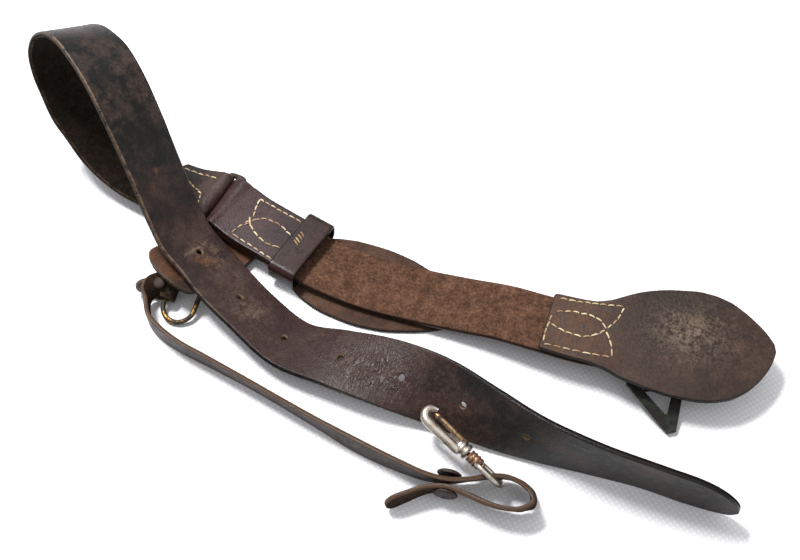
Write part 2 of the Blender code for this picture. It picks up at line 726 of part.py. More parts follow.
def snap_hook(sling):
    eye_points = []
    corner = 5.0
    far = -EYE_BASE - EYE_LENGTH
    for along, up, start in ((-EYE_BASE - corner, 1, 0), (far + corner, 1, 90), (far + corner, -1, 180),
                             (-EYE_BASE - corner, -1, 270)):
        for step in range(5):
            turn = math.radians(start + 22.5 * step)
            centre = on_hook(along) + EYE_UP * up * (EYE_HALF_WIDTH - corner)
            eye_points.append(centre + corner * (HOOK_ALONG * math.cos(turn) + EYE_UP * math.sin(turn)))
    eye = solidified(tube("hook_eye", eye_points, EYE_WIRE / 2, worn_nickel(), sling, closed=True))
    barrel = rod("eye_barrel", on_hook(-4.2), on_hook(-EYE_BASE - 1.9), BARREL_RADIUS, rusty_steel(), cutters)
    combine(eye, barrel, "UNION")
    bore = rod("eye_bore", on_hook(0), on_hook(-EYE_BASE - 8), STEM_RADIUS + GAP, rusty_steel(), cutters)
    combine(eye, bore, "DIFFERENCE")
    pivot(finished(eye), EYE_PIVOT)

    body_path = [on_hook(distance, BODY_OFFSET) for distance in (-1, 8, 16, 24, NOSE_CENTRE[0])]
    nose_rise = NOSE_CENTRE[1] - BODY_OFFSET
    for degrees in (-68, -46, -24, 0, 25, 50, 72):
        turn = math.radians(degrees)
        body_path.append(
            on_hook(NOSE_CENTRE[0] + NOSE_REACH * math.cos(turn), NOSE_CENTRE[1] + nose_rise * math.sin(turn))
        )
    body = tube("hook_body", body_path, BODY_RADIUS, worn_nickel(), sling, resolution=3)
    tapers = [1.0] * 5 + [0.98, 0.95, 0.9, 0.8, 0.68, 0.56, 0.44]
    for knot, taper in zip(body.data.splines[0].points, tapers):
        knot.radius = taper
    body = solidified(body)
    first, last = COLLAR_ENDS
    collar = rod("collar_block", on_hook(first), on_hook(last), COLLAR_RADIUS, worn_nickel(), cutters, segments=28)
    combine(body, collar, "UNION")
    stem = rod("stem", on_hook(-1.0), on_hook(-EYE_BASE - 2.6), STEM_RADIUS, rusty_steel(), cutters)
    combine(body, stem, "UNION")
    head = rod("stem_head", on_hook(-EYE_BASE - 2.3), on_hook(-EYE_BASE - 4.0), 2.7, rusty_steel(), cutters)
    combine(body, head, "UNION")
    slot = block("gate_slot", on_hook(7.4, 6.4), (14.0, 10.0, 3.6), (HOOK_ALONG, HOOK_SIDE, -HOOK_FACE))
    combine(body, slot, "DIFFERENCE")
    pin_ends = [on_hook(*GATE_PIN_AT, face) for face in (-9, 9)]
    combine(body, rod("body_pin_hole", *pin_ends, GATE_PIN_RADIUS + 0.3, rusty_steel(), cutters), "DIFFERENCE")
    pivot(finished(body), COLLAR)

    arm = [on_hook(*GATE_PIN_AT), on_hook(10, 4.3), on_hook(20, 4.5), on_hook(*GATE_TIP)]
    gate = solidified(tube("gate", arm, GATE_RADIUS, aged_brass(), sling, resolution=3))
    knuckle = [on_hook(*GATE_PIN_AT, face) for face in (-1.5, 1.5)]
    combine(gate, rod("knuckle", *knuckle, 2.1, aged_brass(), cutters, segments=24), "UNION")
    combine(gate, rod("gate_pin_hole", *pin_ends, GATE_PIN_RADIUS + 0.3, aged_brass(), cutters), "DIFFERENCE")
    pivot(finished(gate), on_hook(*GATE_PIN_AT))
    pin_ends = [on_hook(*GATE_PIN_AT, face) for face in (-3.8, 3.8)]
    rod("gate_pin", *pin_ends, GATE_PIN_RADIUS, rusty_steel(), sling, segments=16)
    leaf = [on_hook(6.6, 0.7), on_hook(9.0, 0.9), on_hook(12.0, 1.5), on_hook(15.0, 2.2)]
    tube("gate_spring", leaf, 0.4, rusty_steel(), sling, resolution=2)


def block(name, centre, size, axes):
    """A box cutter, mm, turned to its own axes."""
    solid = bmesh.new()
    bmesh.ops.create_cube(solid, size=1.0)
    mesh = bpy.data.meshes.new(name)
    solid.to_mesh(mesh)
    solid.free()
    mesh.transform(frame_matrix(centre, *axes) @ Matrix.Diagonal((*size, 1.0)))
    return bpy.data.objects.new(name, mesh)


def seam(name, route, corners, sling):
    """One thread laid on the leather along a closed line of stitches: corners are along and across, mm."""
    points = []
    for first, second in zip(corners, corners[1:] + corners[:1]):
        count = max(2, round(math.dist(first, second) / 4.0))
        for step in range(count):
            share = step / count
            points.append([first[k] + (second[k] - first[k]) * share for k in range(2)])
    lift = LEATHER / 2 + GAP + THREAD / 2
    flat = np.array([(along, across, lift) for along, across in points])
    tube(name, [Vector(place) for place in route.bend(flat)], THREAD / 2, linen_thread(), sling, closed=True,
         resolution=1)


def seams(sling):
    seam("shoulder_strap_thread", Route(SHOULDER_ROUTE), [(5, -18), (30, -18), (30, 18), (5, 18)], sling)
    seam("short_strap_thread", Route(SHORT_ROUTE), [(20, -18), (56, -18), (56, 18), (20, 18)], sling)
    seam("teardrop_thread", Route(TEARDROP_ROUTE), [(4, -19), (44, -19), (50, 0), (44, 19), (4, 19)], sling)


for old in list(bpy.data.objects):
    bpy.data.objects.remove(old)
sling = bpy.data.collections.new("leather_sling")
cutters = bpy.data.collections.new("cutters")
cutters.hide_render = True
for collection in (sling, cutters):
    bpy.context.scene.collection.children.link(collection)
straps(sling)
joint_ring(sling)
keeper(sling)
iron_loop(sling)
brass_ring(sling)
narrow_strap(sling)
snap_hook(sling)
seams(sling)
bpy.context.view_layer.update()
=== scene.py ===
"""An old harness-leather carrying sling as it lies on a pale cloth: its straps and their sewn ends, the keeper,
the rings and the snap hook."""

import math

import bpy
import numpy as np
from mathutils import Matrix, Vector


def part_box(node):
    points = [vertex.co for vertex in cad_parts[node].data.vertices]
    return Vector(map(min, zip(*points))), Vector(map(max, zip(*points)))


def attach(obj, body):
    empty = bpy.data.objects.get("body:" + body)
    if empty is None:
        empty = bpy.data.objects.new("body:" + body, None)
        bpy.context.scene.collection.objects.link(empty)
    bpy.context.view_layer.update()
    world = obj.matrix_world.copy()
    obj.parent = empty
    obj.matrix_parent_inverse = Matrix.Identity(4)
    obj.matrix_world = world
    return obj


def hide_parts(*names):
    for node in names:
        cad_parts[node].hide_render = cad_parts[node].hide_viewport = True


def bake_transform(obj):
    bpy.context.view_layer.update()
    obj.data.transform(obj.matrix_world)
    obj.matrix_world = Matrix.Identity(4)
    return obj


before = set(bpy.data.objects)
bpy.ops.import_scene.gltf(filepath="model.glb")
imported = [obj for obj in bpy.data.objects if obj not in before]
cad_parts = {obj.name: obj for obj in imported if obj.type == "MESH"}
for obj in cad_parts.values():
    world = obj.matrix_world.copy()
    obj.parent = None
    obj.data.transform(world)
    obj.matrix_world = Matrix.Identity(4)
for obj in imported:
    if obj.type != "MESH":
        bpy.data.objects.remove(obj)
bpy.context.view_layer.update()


# --- Shoulder strap -------------------------------------------------------------------------
# One long strap of harness leather, 48 mm wide and 4 mm thick, oiled nearly black. One end is
# folded over the joint ring and sewn down, the other is cut round, and seven 5 mm holes are
# punched down its middle. Years of use have rubbed its edges and cracked its grain.

MM = 0.001
MIDDLE = np.array((19.0, 47.5, 0.0))  # the stations below count from here, mm
STRAP_WIDTH = 48.0
LEATHER = 4.0
GAP = 0.3
FOLD_RADIUS = 4.7
BAR_A = (-157.6, 12.0, 19.0)
BAR_B = (-143.6, 10.5, 19.0)
HALF_TURN = (0, 45, 90, 135, 180)


def turn_round(centre, start, side, radius, degrees, across):
    """Stations round a bar: centre + radius (cos t start + sin t side) at each angle t, and the way across."""
    angles = np.radians(degrees)[:, None]
    spokes = np.cos(angles) * np.array(start, float) + np.sin(angles) * np.array(side, float)
    points = np.array(centre, float) + radius * spokes
    return np.c_[points, np.tile(np.array(across, float), (len(points), 1))].tolist()


SHOULDER_ROUTE = [
    (-197, 15, 18.2, 1, 9, 0), (-177, 13.6, 18.6, 1, 9, 0), (-165, 12.6, 22.0, 1, 9, 0),
    *turn_round(BAR_A, (0, 0, 1), (1, 0, 0), FOLD_RADIUS, HALF_TURN, (1, 9, 0)),
    (-165, 12.6, 14.0, 1, 9, 0), (-177, 13.6, 13.9, 1, 9, 0), (-207, 16, 13.5, 2, 9, 0),
    (-226, 20, 13.5, 12, 47, -3), (-244, 25, 17, 13, 46, -7), (-260, 31, 23, 12, 45, -11),
    (-274, 38, 33, 11, 45, -13), (-286, 44, 45, 11, 45, -13), (-294, 51, 61, 12, 45, -12),
    (-298, 56, 78, 15, 44, -11), (-296, 59, 95, 20, 43, -12), (-287, 59, 109, 22, 40, -15),
    (-273, 55, 118, 23, 38, -18), (-257, 47, 122, 22, 38, -19), (-242, 38, 120, 22, 40, -17),
    (-228, 28, 114, 20, 40, -17), (-204, 8, 92, 17, 42, -17), (-184, -10, 66, 14, 42, -18),
    (-164, -28, 42, 15, 42, -18), (-152, -37.5, 32, 15, 41, -17), (-136, -45, 24, 16, 40, -17),
    (-120, -54, 19, 17, 41, -16), (-87, -70, 12.5, 16, 42, -17), (-52, -84, 10, 11, 45, -12),
    (-16, -87, 16, 4, 48, -2), (21, -90, 22, 3, 46, 15), (58, -93, 23, 4, 35, 32),
    (95, -101, 24.5, 3, 22, 43), (131, -107, 26, 0, 7, 48), (169, -109, 26.5, 0, -3, 48),
    (208, -109, 25.5, 0, -7, 46), (236, -109, 22, 0, -7, 46), (262, -109, 13, -6, -7, 40),
]


def smooth_line(rows):
    """A cubic Hermite curve through the stations: its length, a function that gives middle, across and outward
    at distances along it, and one that gives where to cut it. Outward is the tangent crossed with across."""
    rows = np.array(rows, float)
    rows[:, 3:] /= np.linalg.norm(rows[:, 3:], axis=1)[:, None]
    knots = np.r_[0, np.cumsum(np.linalg.norm(np.diff(rows[:, :3], axis=0), axis=1))]
    slopes = np.gradient(rows, knots, axis=0)
    fine = np.linspace(0, knots[-1], 1600)
    span = np.clip(np.searchsorted(knots, fine, side="right") - 1, 0, len(knots) - 2)
    size = (knots[span + 1] - knots[span])[:, None]
    t = (fine - knots[span])[:, None] / size
    curve = (2 * t**3 - 3 * t**2 + 1) * rows[span] + (t**3 - 2 * t**2 + t) * size * slopes[span]
    curve += (3 * t**2 - 2 * t**3) * rows[span + 1] + (t**3 - t**2) * size * slopes[span + 1]
    lengths = np.r_[0, np.cumsum(np.linalg.norm(np.diff(curve[:, :3], axis=0), axis=1))]
    tangents = np.gradient(curve[:, :3], lengths, axis=0)
    tangents /= np.linalg.norm(tangents, axis=1)[:, None]
    turns = np.arccos(np.clip((tangents[1:] * tangents[:-1]).sum(1), -1, 1))

    def at(along):
        points = np.stack([np.interp(along, lengths, curve[:, k]) for k in range(6)], -1)
        tangent = np.stack([np.interp(along, lengths, tangents[:, k]) for k in range(3)], -1)
        across = points[..., 3:] - (points[..., 3:] * tangent).sum(-1, keepdims=True) * tangent
        across /= np.linalg.norm(across, axis=-1, keepdims=True)
        return points[..., :3], across, np.cross(tangent, across)

    def cuts(step, turn_degrees):
        """Distances for crosswise cuts: one each step, and one more for each few degrees of bend."""
        measure = np.r_[0, np.cumsum(np.diff(lengths) / step + turns / math.radians(turn_degrees))]
        return np.interp(np.linspace(0, measure[-1], math.ceil(measure[-1]) + 1), measure, lengths)

    return lengths[-1], at, cuts


def rounded_outline(length, half, first, last):
    """Half widths along a strap whose ends are half ellipses of the given depths."""
    turns = np.radians((8, 16, 25, 35, 45, 55, 65, 78, 90))
    start = [(first * (1 - math.cos(turn)), half * math.sin(turn)) for turn in turns]
    end = [(length - last * (1 - math.cos(turn)), half * math.sin(turn)) for turn in turns[::-1]]
    start[0] = (0.0, start[0][1])
    end[-1] = (length, end[-1][1])
    return start + end


def surface(name, points, faces, uv, values):
    """A mesh object from whole arrays, mm, facing outwards, with a UV and named numbers per point. A face whose
    last two corners are the same is a triangle."""
    three = faces[:, 2] == faces[:, 3]
    corners = points[faces[:, :3]]
    turned_in = np.einsum("ij,ij->i", corners[:, 0], np.cross(corners[:, 1], corners[:, 2])).sum() < 0
    listed = faces[~three].tolist() + faces[three][:, :3].tolist()
    if turned_in:
        listed = [face[::-1] for face in listed]
    mesh = bpy.data.meshes.new(name)
    mesh.from_pydata((points + MIDDLE) * MM, [], listed)
    layer = mesh.uv_layers.new(name="cut")
    order = np.empty(len(mesh.loops), np.int32)
    mesh.loops.foreach_get("vertex_index", order)
    layer.data.foreach_set("uv", (uv[order] * MM).ravel())
    for key, numbers in values.items():
        numbers = np.asarray(numbers, np.float32)
        mesh.attributes.new(key, "FLOAT", "POINT").data.foreach_set("value", numbers)
    mesh.shade_smooth()
    made = bpy.data.objects.new(name, mesh)
    bpy.context.scene.collection.objects.link(made)
    return made


def smooth_halves(along, places, halves):
    """Half widths between the given ones, on monotone cubics: the slope at each is the harmonic mean of the
    slopes before and after it, or nought at a turning point."""
    rises = np.diff(halves) / np.maximum(np.diff(places), 1e-6)
    before, after = np.r_[rises[0], rises], np.r_[rises, rises[-1]]
    both = np.where(before + after == 0, 1, before + after)
    slopes = np.where(before * after > 0, 2 * before * after / both, 0)
    span = np.clip(np.searchsorted(places, along, side="right") - 1, 0, len(places) - 2)
    size = np.maximum(places[span + 1] - places[span], 1e-6)
    t = np.clip((along - places[span]) / size, 0, 1)
    held = (2 * t**3 - 3 * t**2 + 1) * halves[span] + (3 * t**2 - 2 * t**3) * halves[span + 1]
    return held + size * ((t**3 - 2 * t**2 + t) * slopes[span] + (t**3 - t**2) * slopes[span + 1])


HOLE_RADIUS = 2.5
HOLE_REACH = 5.4  # half the side of the square of lines round each hole
# Lines along the strap's flat faces, mm from its middle, close together round a punched hole
LINES = np.array((0, 0.9, 1.7, 2.5, 3.3, 4.2, 5.4, 7, 9, 11.5, 14, 16.5, 18.8, 20.6, 21.9, 22.7))
HOLE_LINES = np.array((-5.4, -4.2, -3.3, -2.5, -1.7, -0.9, 0, 0.9, 1.7, 2.5, 3.3, 4.2, 5.4))
EDGE_ANGLES = np.radians((72, 54, 36, 18, 0, -18, -36, -54, -72))
EDGE_POWER = 0.75
BEND_DEGREES = 7


def end_fans(index):
    """Triangles from the first and last rings of a grid to the two points that follow it."""
    tip = np.full(index.shape[1], index.size)
    low = np.stack([np.roll(index[0], -1), index[0], tip, tip], 1)
    high = np.stack([index[-1], np.roll(index[-1], -1), tip + 1, tip + 1], 1)
    return np.r_[low, high]


def leather_strip(name, rows, outline, thick, step=1.6, edge=1.3, holes=(), relief=None, marks=None):
    """A strap: a flat section with burnished round edges, carried along the line.
    Section: half width h less the edge radius, then half ellipses. The ends draw in by the same radius.
    relief(along, across, side) is added to each face, mm, and marks(along, across, side) gives named amounts
    from 0 to 1 to paint. Holes are squares of the grid drawn to circles. It returns the piece and its line."""
    length, at, cuts = smooth_line(rows)
    along = cuts(step, BEND_DEGREES)
    for hole in holes:
        along = along[np.abs(along - hole) > HOLE_REACH + 0.6]
    near_holes = [hole + HOLE_LINES for hole in holes]
    along = np.unique(np.r_[along, 0.25, 0.7, length - 0.7, length - 0.25, *near_holes])
    places, halves = zip(*outline)
    half = smooth_halves(along, np.array(places, float), np.array(halves, float))
    inside = np.clip(np.minimum(along, length - along) / edge, 0, 1)
    draw = 1 - np.sqrt(1 - (1 - inside) ** 2)
    half = half - 0.7 * edge * draw
    tall = thick / 2 * (1 - 0.55 * draw)
    rim = np.minimum(edge, half * 0.5)
    lines = np.r_[-LINES[:0:-1], LINES] / LINES[-1]
    flat = lines[None, :] * (half - rim)[:, None]
    if len(holes):
        wide_enough = half[:, None] > 0.9 * STRAP_WIDTH / 2
        flat = np.where((np.abs(lines) < 0.3) & wide_enough, lines * LINES[-1], flat)
    count, wide = len(along), len(lines)
    right = (half - rim)[:, None] + rim[:, None] * np.abs(np.cos(EDGE_ANGLES)) ** EDGE_POWER
    rise = np.sign(np.sin(EDGE_ANGLES)) * np.abs(np.sin(EDGE_ANGLES)) ** EDGE_POWER
    a = np.c_[flat, right, flat[:, ::-1], -right]
    section = np.r_[np.ones(wide), rise, -np.ones(wide), -rise]
    side = np.tile(np.sign(section), (count, 1))
    w = tall[:, None] * section
    s = np.tile(along[:, None], (1, a.shape[1]))
    around = a.shape[1]
    for hole in holes:
        x, y = s - hole, a
        square = np.maximum(np.abs(x), np.abs(y))
        share = np.clip((HOLE_REACH - square) / (HOLE_REACH - HOLE_RADIUS), 0, 1)
        scale = 1 + share * (square / np.maximum(np.hypot(x, y), 1e-6) - 1)
        near = square < HOLE_REACH
        s = np.where(near, hole + x * scale, s)
        a = np.where(near, y * scale, a)
    if relief is not None:
        w = w + relief(s, a, side) * np.minimum(1, (half[:, None] - np.abs(a)) / 3 + 0.3)
    middle, across, outward = at(s)
    points = middle + a[..., None] * across + w[..., None] * outward
    index = np.arange(count * around).reshape(count, around)
    keep = np.ones((count - 1, around), bool)
    walls = []
    for hole in holes:
        first, last = np.searchsorted(along, (hole - HOLE_RADIUS - 0.01, hole + HOLE_RADIUS - 0.01))
        left, centre = wide // 2 - 3, wide // 2 + 3
        keep[first:last, left:centre] = False
        under = 2 * wide + len(EDGE_ANGLES) - 1
        keep[first:last, under - centre:under - left] = False
        ring = np.r_[
            np.stack([np.arange(first, last), np.full(last - first, left)], 1),
            np.stack([np.full(centre - left, last), np.arange(left, centre)], 1),
            np.stack([np.arange(last, first, -1), np.full(last - first, centre)], 1),
            np.stack([np.full(centre - left, first), np.arange(centre, left, -1)], 1),
        ]
        top = index[ring[:, 0], ring[:, 1]]
        bottom = index[ring[:, 0], under - ring[:, 1]]
        walls.append(np.stack([top, np.roll(top, -1), np.roll(bottom, -1), bottom], 1))
    here, there = index, np.roll(index, -1, axis=1)
    quads = np.stack([here[:-1], here[1:], there[1:], there[:-1]], -1)[keep]
    faces = np.concatenate([quads, *walls])
    edge_near = np.exp(-np.maximum(half[:, None] - np.abs(a), 0) / 1.6)
    end_near = np.exp(-np.minimum(s, length - s) / 1.6)
    rim_near = np.maximum(edge_near, end_near)
    points = np.r_[points.reshape(-1, 3), middle[0, :1], middle[-1, :1]]
    faces = np.r_[faces, end_fans(index)]
    uv = np.r_[np.stack([s, a], -1).reshape(-1, 2), [(0, 0), (length, 0)]]
    punched = np.zeros_like(s)
    for hole in holes:
        punched = np.maximum(punched, np.exp(-np.maximum(np.hypot(s - hole, a) - HOLE_RADIUS, 0) / 0.35))
    values = {
        "rim": np.r_[rim_near.ravel(), 1, 1],
        "face": np.r_[side.ravel() * 0.5 + 0.5, 0.5, 0.5],
        "punched": np.r_[punched.ravel(), 0, 0],
    }
    for key, amounts in (marks(s, a, side) if marks else {}).items():
        values[key] = np.r_[np.broadcast_to(amounts, s.shape).ravel(), 0, 0]
    return surface(name, points, faces, uv, values), at


def linear(code):
    """An sRGB hex colour as the linear one that a shader takes."""
    shares = np.array([int(code[k:k + 2], 16) for k in (1, 3, 5)]) / 255
    return (*np.where(shares <= 0.04045, shares / 12.92, ((shares + 0.055) / 1.055) ** 2.4), 1.0)


def add(tree, kind, inputs=(), **settings):
    """One node with its settings and its inputs, each a number or another node's output."""
    made = tree.nodes.new(kind)
    for key, value in settings.items():
        setattr(made, key, value)
    for key, value in dict(inputs).items():
        if isinstance(value, bpy.types.NodeSocket):
            tree.links.new(value, made.inputs[key])
        else:
            made.inputs[key].default_value = value
    return made


def finish_material(name):
    """An empty material and its shader, ready for a finish."""
    made = bpy.data.materials.new(name)
    made.use_nodes = True
    return made, made.node_tree, made.node_tree.nodes["Principled BSDF"]


def grain_leather(
    name, deep, brown, rubbed, edge, back, gloss=0.42, patch=34.0, rubs=0.55, wrinkle=0.35, crack=0.5, depth=0.7
):
    """Oiled harness leather: dark dressing in patches, rubbed to brown where it is handled, with pores 1.3 mm
    apart, soft wrinkles across the strap, streaks along it, and short dark cracks. Its edges are burnished and
    its back is fibrous. Painted amounts make it browner (wear), paler (scuff), rusty, pale-edged or crumpled,
    and crumpled parts also get a painted highlight, a pale grey on their crease ridges."""
    made, tree, shader = finish_material(name)

    def amount(key):
        return add(tree, "ShaderNodeAttribute", attribute_name=key).outputs["Fac"]

    def ramp(value, low, high, start=0.0, end=1.0):
        return add(tree, "ShaderNodeMapRange", {0: value, 1: low, 2: high, 3: start, 4: end}).outputs[0]

    def blend(share, first, second, how="MIX"):
        colours = {0: share, 6: first, 7: second}
        return add(tree, "ShaderNodeMix", colours, data_type="RGBA", blend_type=how).outputs[2]

    def maths(how, first, second, third=0.0):
        return add(tree, "ShaderNodeMath", {0: first, 1: second, 2: third}, operation=how).outputs[0]

    def product(first, second):
        return maths("MULTIPLY", first, second)

    def noise(size, detail, roughness, vector):
        inputs = {"Vector": vector, "Scale": 1000 / size, "Detail": detail, "Roughness": roughness}
        return add(tree, "ShaderNodeTexNoise", inputs)

    def stretched(vector, factors):
        return add(tree, "ShaderNodeVectorMath", {0: vector, 1: factors}, operation="MULTIPLY").outputs[0]

    def pushed(vector, amounts):
        inputs = {0: cloud.outputs[1], 1: amounts, 2: vector}
        return add(tree, "ShaderNodeVectorMath", inputs, operation="MULTIPLY_ADD").outputs[0]

    def cell_edges(vector, size):
        inputs = {"Vector": vector, "Scale": 1000 / size}
        return add(tree, "ShaderNodeTexVoronoi", inputs, feature="DISTANCE_TO_EDGE").outputs[0]

    place = add(tree, "ShaderNodeTexCoord").outputs["Object"]
    cut = add(tree, "ShaderNodeUVMap", uv_map="cut").outputs["UV"]
    rim, face, wear, scuff = amount("rim"), amount("face"), amount("wear"), amount("scuff")
    crumple = amount("crumple")
    patches = noise(patch, 5.0, 0.6, place).outputs[0]
    cloud = noise(7.0, 7.0, 0.72, place)
    mottle = cloud.outputs[0]
    specks = noise(1.9, 5.0, 0.75, place).outputs[0]
    streaks = noise(1.7, 3.0, 0.6, stretched(cut, (0.16, 1.0, 1.0))).outputs[0]
    worn = blend(maths("ADD", ramp(patches, 0.36, 0.64), wear), linear(deep), linear(brown))
    worn = blend(ramp(product(mottle, patches), 0.22, 0.38, 0.0, rubs), worn, linear(rubbed))
    worn = blend(ramp(streaks, 0.6, 0.78, 0.0, 0.35), worn, linear(rubbed))
    worn = blend(1.0, worn, ramp(specks, 0.3, 0.7, 0.55, 1.5), "MULTIPLY")
    worn = blend(product(scuff, ramp(product(specks, mottle), 0.2, 0.33)), worn, linear("#8f7b69"))
    worn = blend(product(amount("rust"), ramp(mottle, 0.42, 0.56)), worn, linear("#643e22"))
    cracks = ramp(cell_edges(pushed(place, (0.006, 0.006, 0.006)), 9.0), 0.0, 0.05, 1.0, 0.0)
    crazed = product(cracks, ramp(mottle, 0.48, 0.62, 0.0, crack))
    worn = blend(crazed, worn, linear("#150e0b"))
    folds = cell_edges(stretched(pushed(cut, (0.004, 0.002, 0.0)), (1.0, 0.33, 1.0)), 2.4)
    ridges = product(ramp(folds, 0.0, 0.3), crumple)
    # painted highlight: on the crumpled patch the crease ridges are lightened towards pale grey, standing for the
    # light they catch
    worn = blend(product(ridges, ramp(specks, 0.5, 0.7, 0.0, 0.25)), worn, linear("#97877f"))
    fleshy = blend(1.0, linear(back), ramp(specks, 0.3, 0.7, 0.35, 1.75), "MULTIPLY")
    fleshy = blend(1.0, fleshy, ramp(mottle, 0.35, 0.65, 0.6, 1.45), "MULTIPLY")
    sided = blend(face, fleshy, worn)
    edged = blend(ramp(rim, 0.45, 0.85, 0.0, 0.95), sided, linear(edge))
    pale = product(amount("pale"), ramp(mottle, 0.4, 0.55))
    line = product(ramp(rim, 0.3, 0.5), ramp(rim, 0.75, 0.95, 1.0, 0.2))
    edged = blend(product(pale, line), edged, linear("#66513f"))
    holed = blend(ramp(amount("punched"), 0.75, 1.0, 0.0, 0.8), edged, linear("#6f5a43"))
    tree.links.new(holed, shader.inputs["Base Color"])
    rough = maths("SUBTRACT", ramp(mottle, 0.35, 0.65, gloss - 0.08, gloss + 0.16), product(crumple, 0.14))
    rough = maths("SUBTRACT", rough, ramp(rim, 0.6, 0.95, 0.0, 0.16))
    rough = add(tree, "ShaderNodeMix", {0: face, 2: 0.95, 3: rough}).outputs[0]
    tree.links.new(rough, shader.inputs["Roughness"])
    shine = add(tree, "ShaderNodeMix", {0: face, 2: 0.06, 3: 0.26}).outputs[0]
    tree.links.new(shine, shader.inputs["Specular IOR Level"])
    pores = add(tree, "ShaderNodeTexVoronoi", {"Vector": place, "Scale": 1000 / 1.3}).outputs[0]
    across = stretched(cut, (1000 / 2.6, 1000 / 12.0, 1.0))
    creases = {"Vector": across, "Scale": 1.0, "Detail": 3.0, "Distortion": 0.8}
    height = product(add(tree, "ShaderNodeTexNoise", creases).outputs[0], wrinkle)
    for relief, share in ((pores, 0.3), (specks, 0.7), (crazed, -0.6), (ridges, 1.1)):
        height = maths("MULTIPLY_ADD", relief, share, height)
    bump = add(tree, "ShaderNodeBump", {"Height": height, "Strength": depth, "Distance": 0.0006})
    tree.links.new(bump.outputs[0], shader.inputs["Normal"])
    return made


def strap_relief(s, a, side):
    """The shoulder strap's faces: slow waves of 0.15 mm, and soft wrinkles where it turns on edge."""
    slow = 0.12 * np.sin(s / 17.0 + 0.6 * np.sin(a / 9.0)) * np.cos(a / 14.0 + s / 61.0)
    bunch = np.exp(-(((s - 585) / 26) ** 2)) * np.exp(-(((a + 3) / 14) ** 2))
    ripple = 0.16 * bunch * np.sin(s / 0.85 + 1.4 * np.sin(a / 4.0) + 0.9 * np.sin(s / 7.0))
    return slow * side * side + ripple


def strap_marks(s, a, side):
    """Where the shoulder strap is brown, scuffed, rusted, crumpled (and given a painted highlight on its crease
    ridges) and pale at one edge: soft spots and bands.
    """

    def spot(along, across, long, wide):
        return np.exp(-(((s - along) / long) ** 2) - (((a - across) / wide) ** 2)) * (side > 0)

    bands = (0, 60, 240, 300, 390, 430, 520, 600, 690, 760, 904)
    browner = (0.2, 0.3, -0.3, -0.7, -0.5, 0.15, 0.6, 0.9, 0.4, -0.7, -0.9)
    return {
        "wear": np.interp(s, bands, browner),
        "scuff": 0.6 * spot(481, 0, 1.2, 13) + 0.35 * spot(492, 5, 9, 9) + 0.25 * spot(545, -2, 14, 10),
        "rust": spot(492, 0, 7, 7) + 0.8 * spot(417, -1, 2, 2) + 0.6 * spot(428, -9, 2, 2),
        # crumple also paints a highlight on the crease ridges
        "crumple": spot(648, -4, 30, 17) + 0.4 * spot(700, 4, 50, 26),
        "pale": np.interp(s, (250, 300, 480, 560), (0.3, 1, 0.9, 0)) * (a < 0),
    }


HOLE_PITCH = 46.5
TIP_TO_HOLE = 140.0
shoulder_length = smooth_line(SHOULDER_ROUTE)[0]
shoulder, shoulder_at = leather_strip(
    "shoulder_strap_leather", SHOULDER_ROUTE, rounded_outline(shoulder_length, STRAP_WIDTH / 2, 6.0, 40.0),
    LEATHER, holes=[shoulder_length - TIP_TO_HOLE - HOLE_PITCH * number for number in range(7)],
    relief=strap_relief, marks=strap_marks,
)
shoulder.data.materials.append(
    grain_leather("oiled harness leather", "#0d0c0a", "#2d1d1a", "#4a3931", "#0f0b09", "#19140f", gloss=0.4)
)
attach(shoulder, "straps")
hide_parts("shoulder_strap")


# --- Short strap ----------------------------------------------------------------------------
# A second strap of the same leather with its flesh side up: reddish brown, dry and fibrous.
# It is folded back over the joint ring, so its turned end shows the smooth grain, and it is
# sewn down under the keeper.

SHORT_ROUTE = [
    (-79, -7, 16.6, -2, -9, 0), (-100, -2.5, 18.8, -2, -9, 0), (-122, 3, 20.8, -2, -9, 0),
    (-136, 8, 22.6, -1, -9, 0),
    *turn_round(BAR_B, (0, 0, 1), (-1, 0.15, 0), FOLD_RADIUS, HALF_TURN, (-1, -9, 0)),
    (-136, 8, 15.0, -1, -9, 0), (-122, 3, 16.2, -2, -9, 0), (-100, -2.5, 14.2, -2, -9, 0),
    (-79, -7, 12.1, -2, -9, 0), (-62, -10.5, 9.8, -1, -9, 0), (-40, -13.5, 8.2, -1, -18, 0),
    (-20, -15, 7.7, 0, -1, 0), (25, -14, 8.3, 0, -1, 0), (57, -13.5, 12, 0, -1, 0), (83, -14, 17, 0, -1, 0),
    (110, -16, 20.2, 0, -1, 0), (140, -16, 21.4, 0, -20, -1), (166, -13, 22.1, 3, -20, -2),
]
short_outline = rounded_outline(smooth_line(SHORT_ROUTE)[0], STRAP_WIDTH / 2 - 0.5, 4.0, 4.0)
short, short_at = leather_strip("short_strap_leather", SHORT_ROUTE, short_outline, LEATHER)
short.data.materials.append(
    grain_leather(
        "dry strap leather", "#1f1112", "#311d1d", "#402a26", "#241712", "#4d372b",
        gloss=0.32, rubs=0.3, wrinkle=0.2, crack=0.15, depth=0.42,
    )
)
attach(short, "straps")
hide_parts("short_strap")


# --- Teardrop end ---------------------------------------------------------------------------
# A teardrop of heavy leather sewn over the end of the short strap. Its middle is scuffed to
# tan, and its lower edge is dressed black.

TEARDROP_ROUTE = [
    (114, -16, 25.0, 0, 20, 0), (140, -16, 26.2, 0, 20, 1), (166, -13, 26.8, -3, 20, 2),
    (192, -8, 27.2, -4, 20, 2), (219, -3, 27.2, -4, 20, 2), (243, 4, 26.4, -5, 20, 2),
    (268, 12, 25.0, -5, 20, 1),
]
teardrop_length = smooth_line(TEARDROP_ROUTE)[0]
teardrop_outline = [(0, 23), (2, 24), (30, 24.5), (42, 27), (55, 32.5), (70, 37.5), (88, 41), (105, 42)]
teardrop_outline += [(118, 40), (130, 35), (140, 27.5), (148, 19), (153, 12), (teardrop_length, 3)]


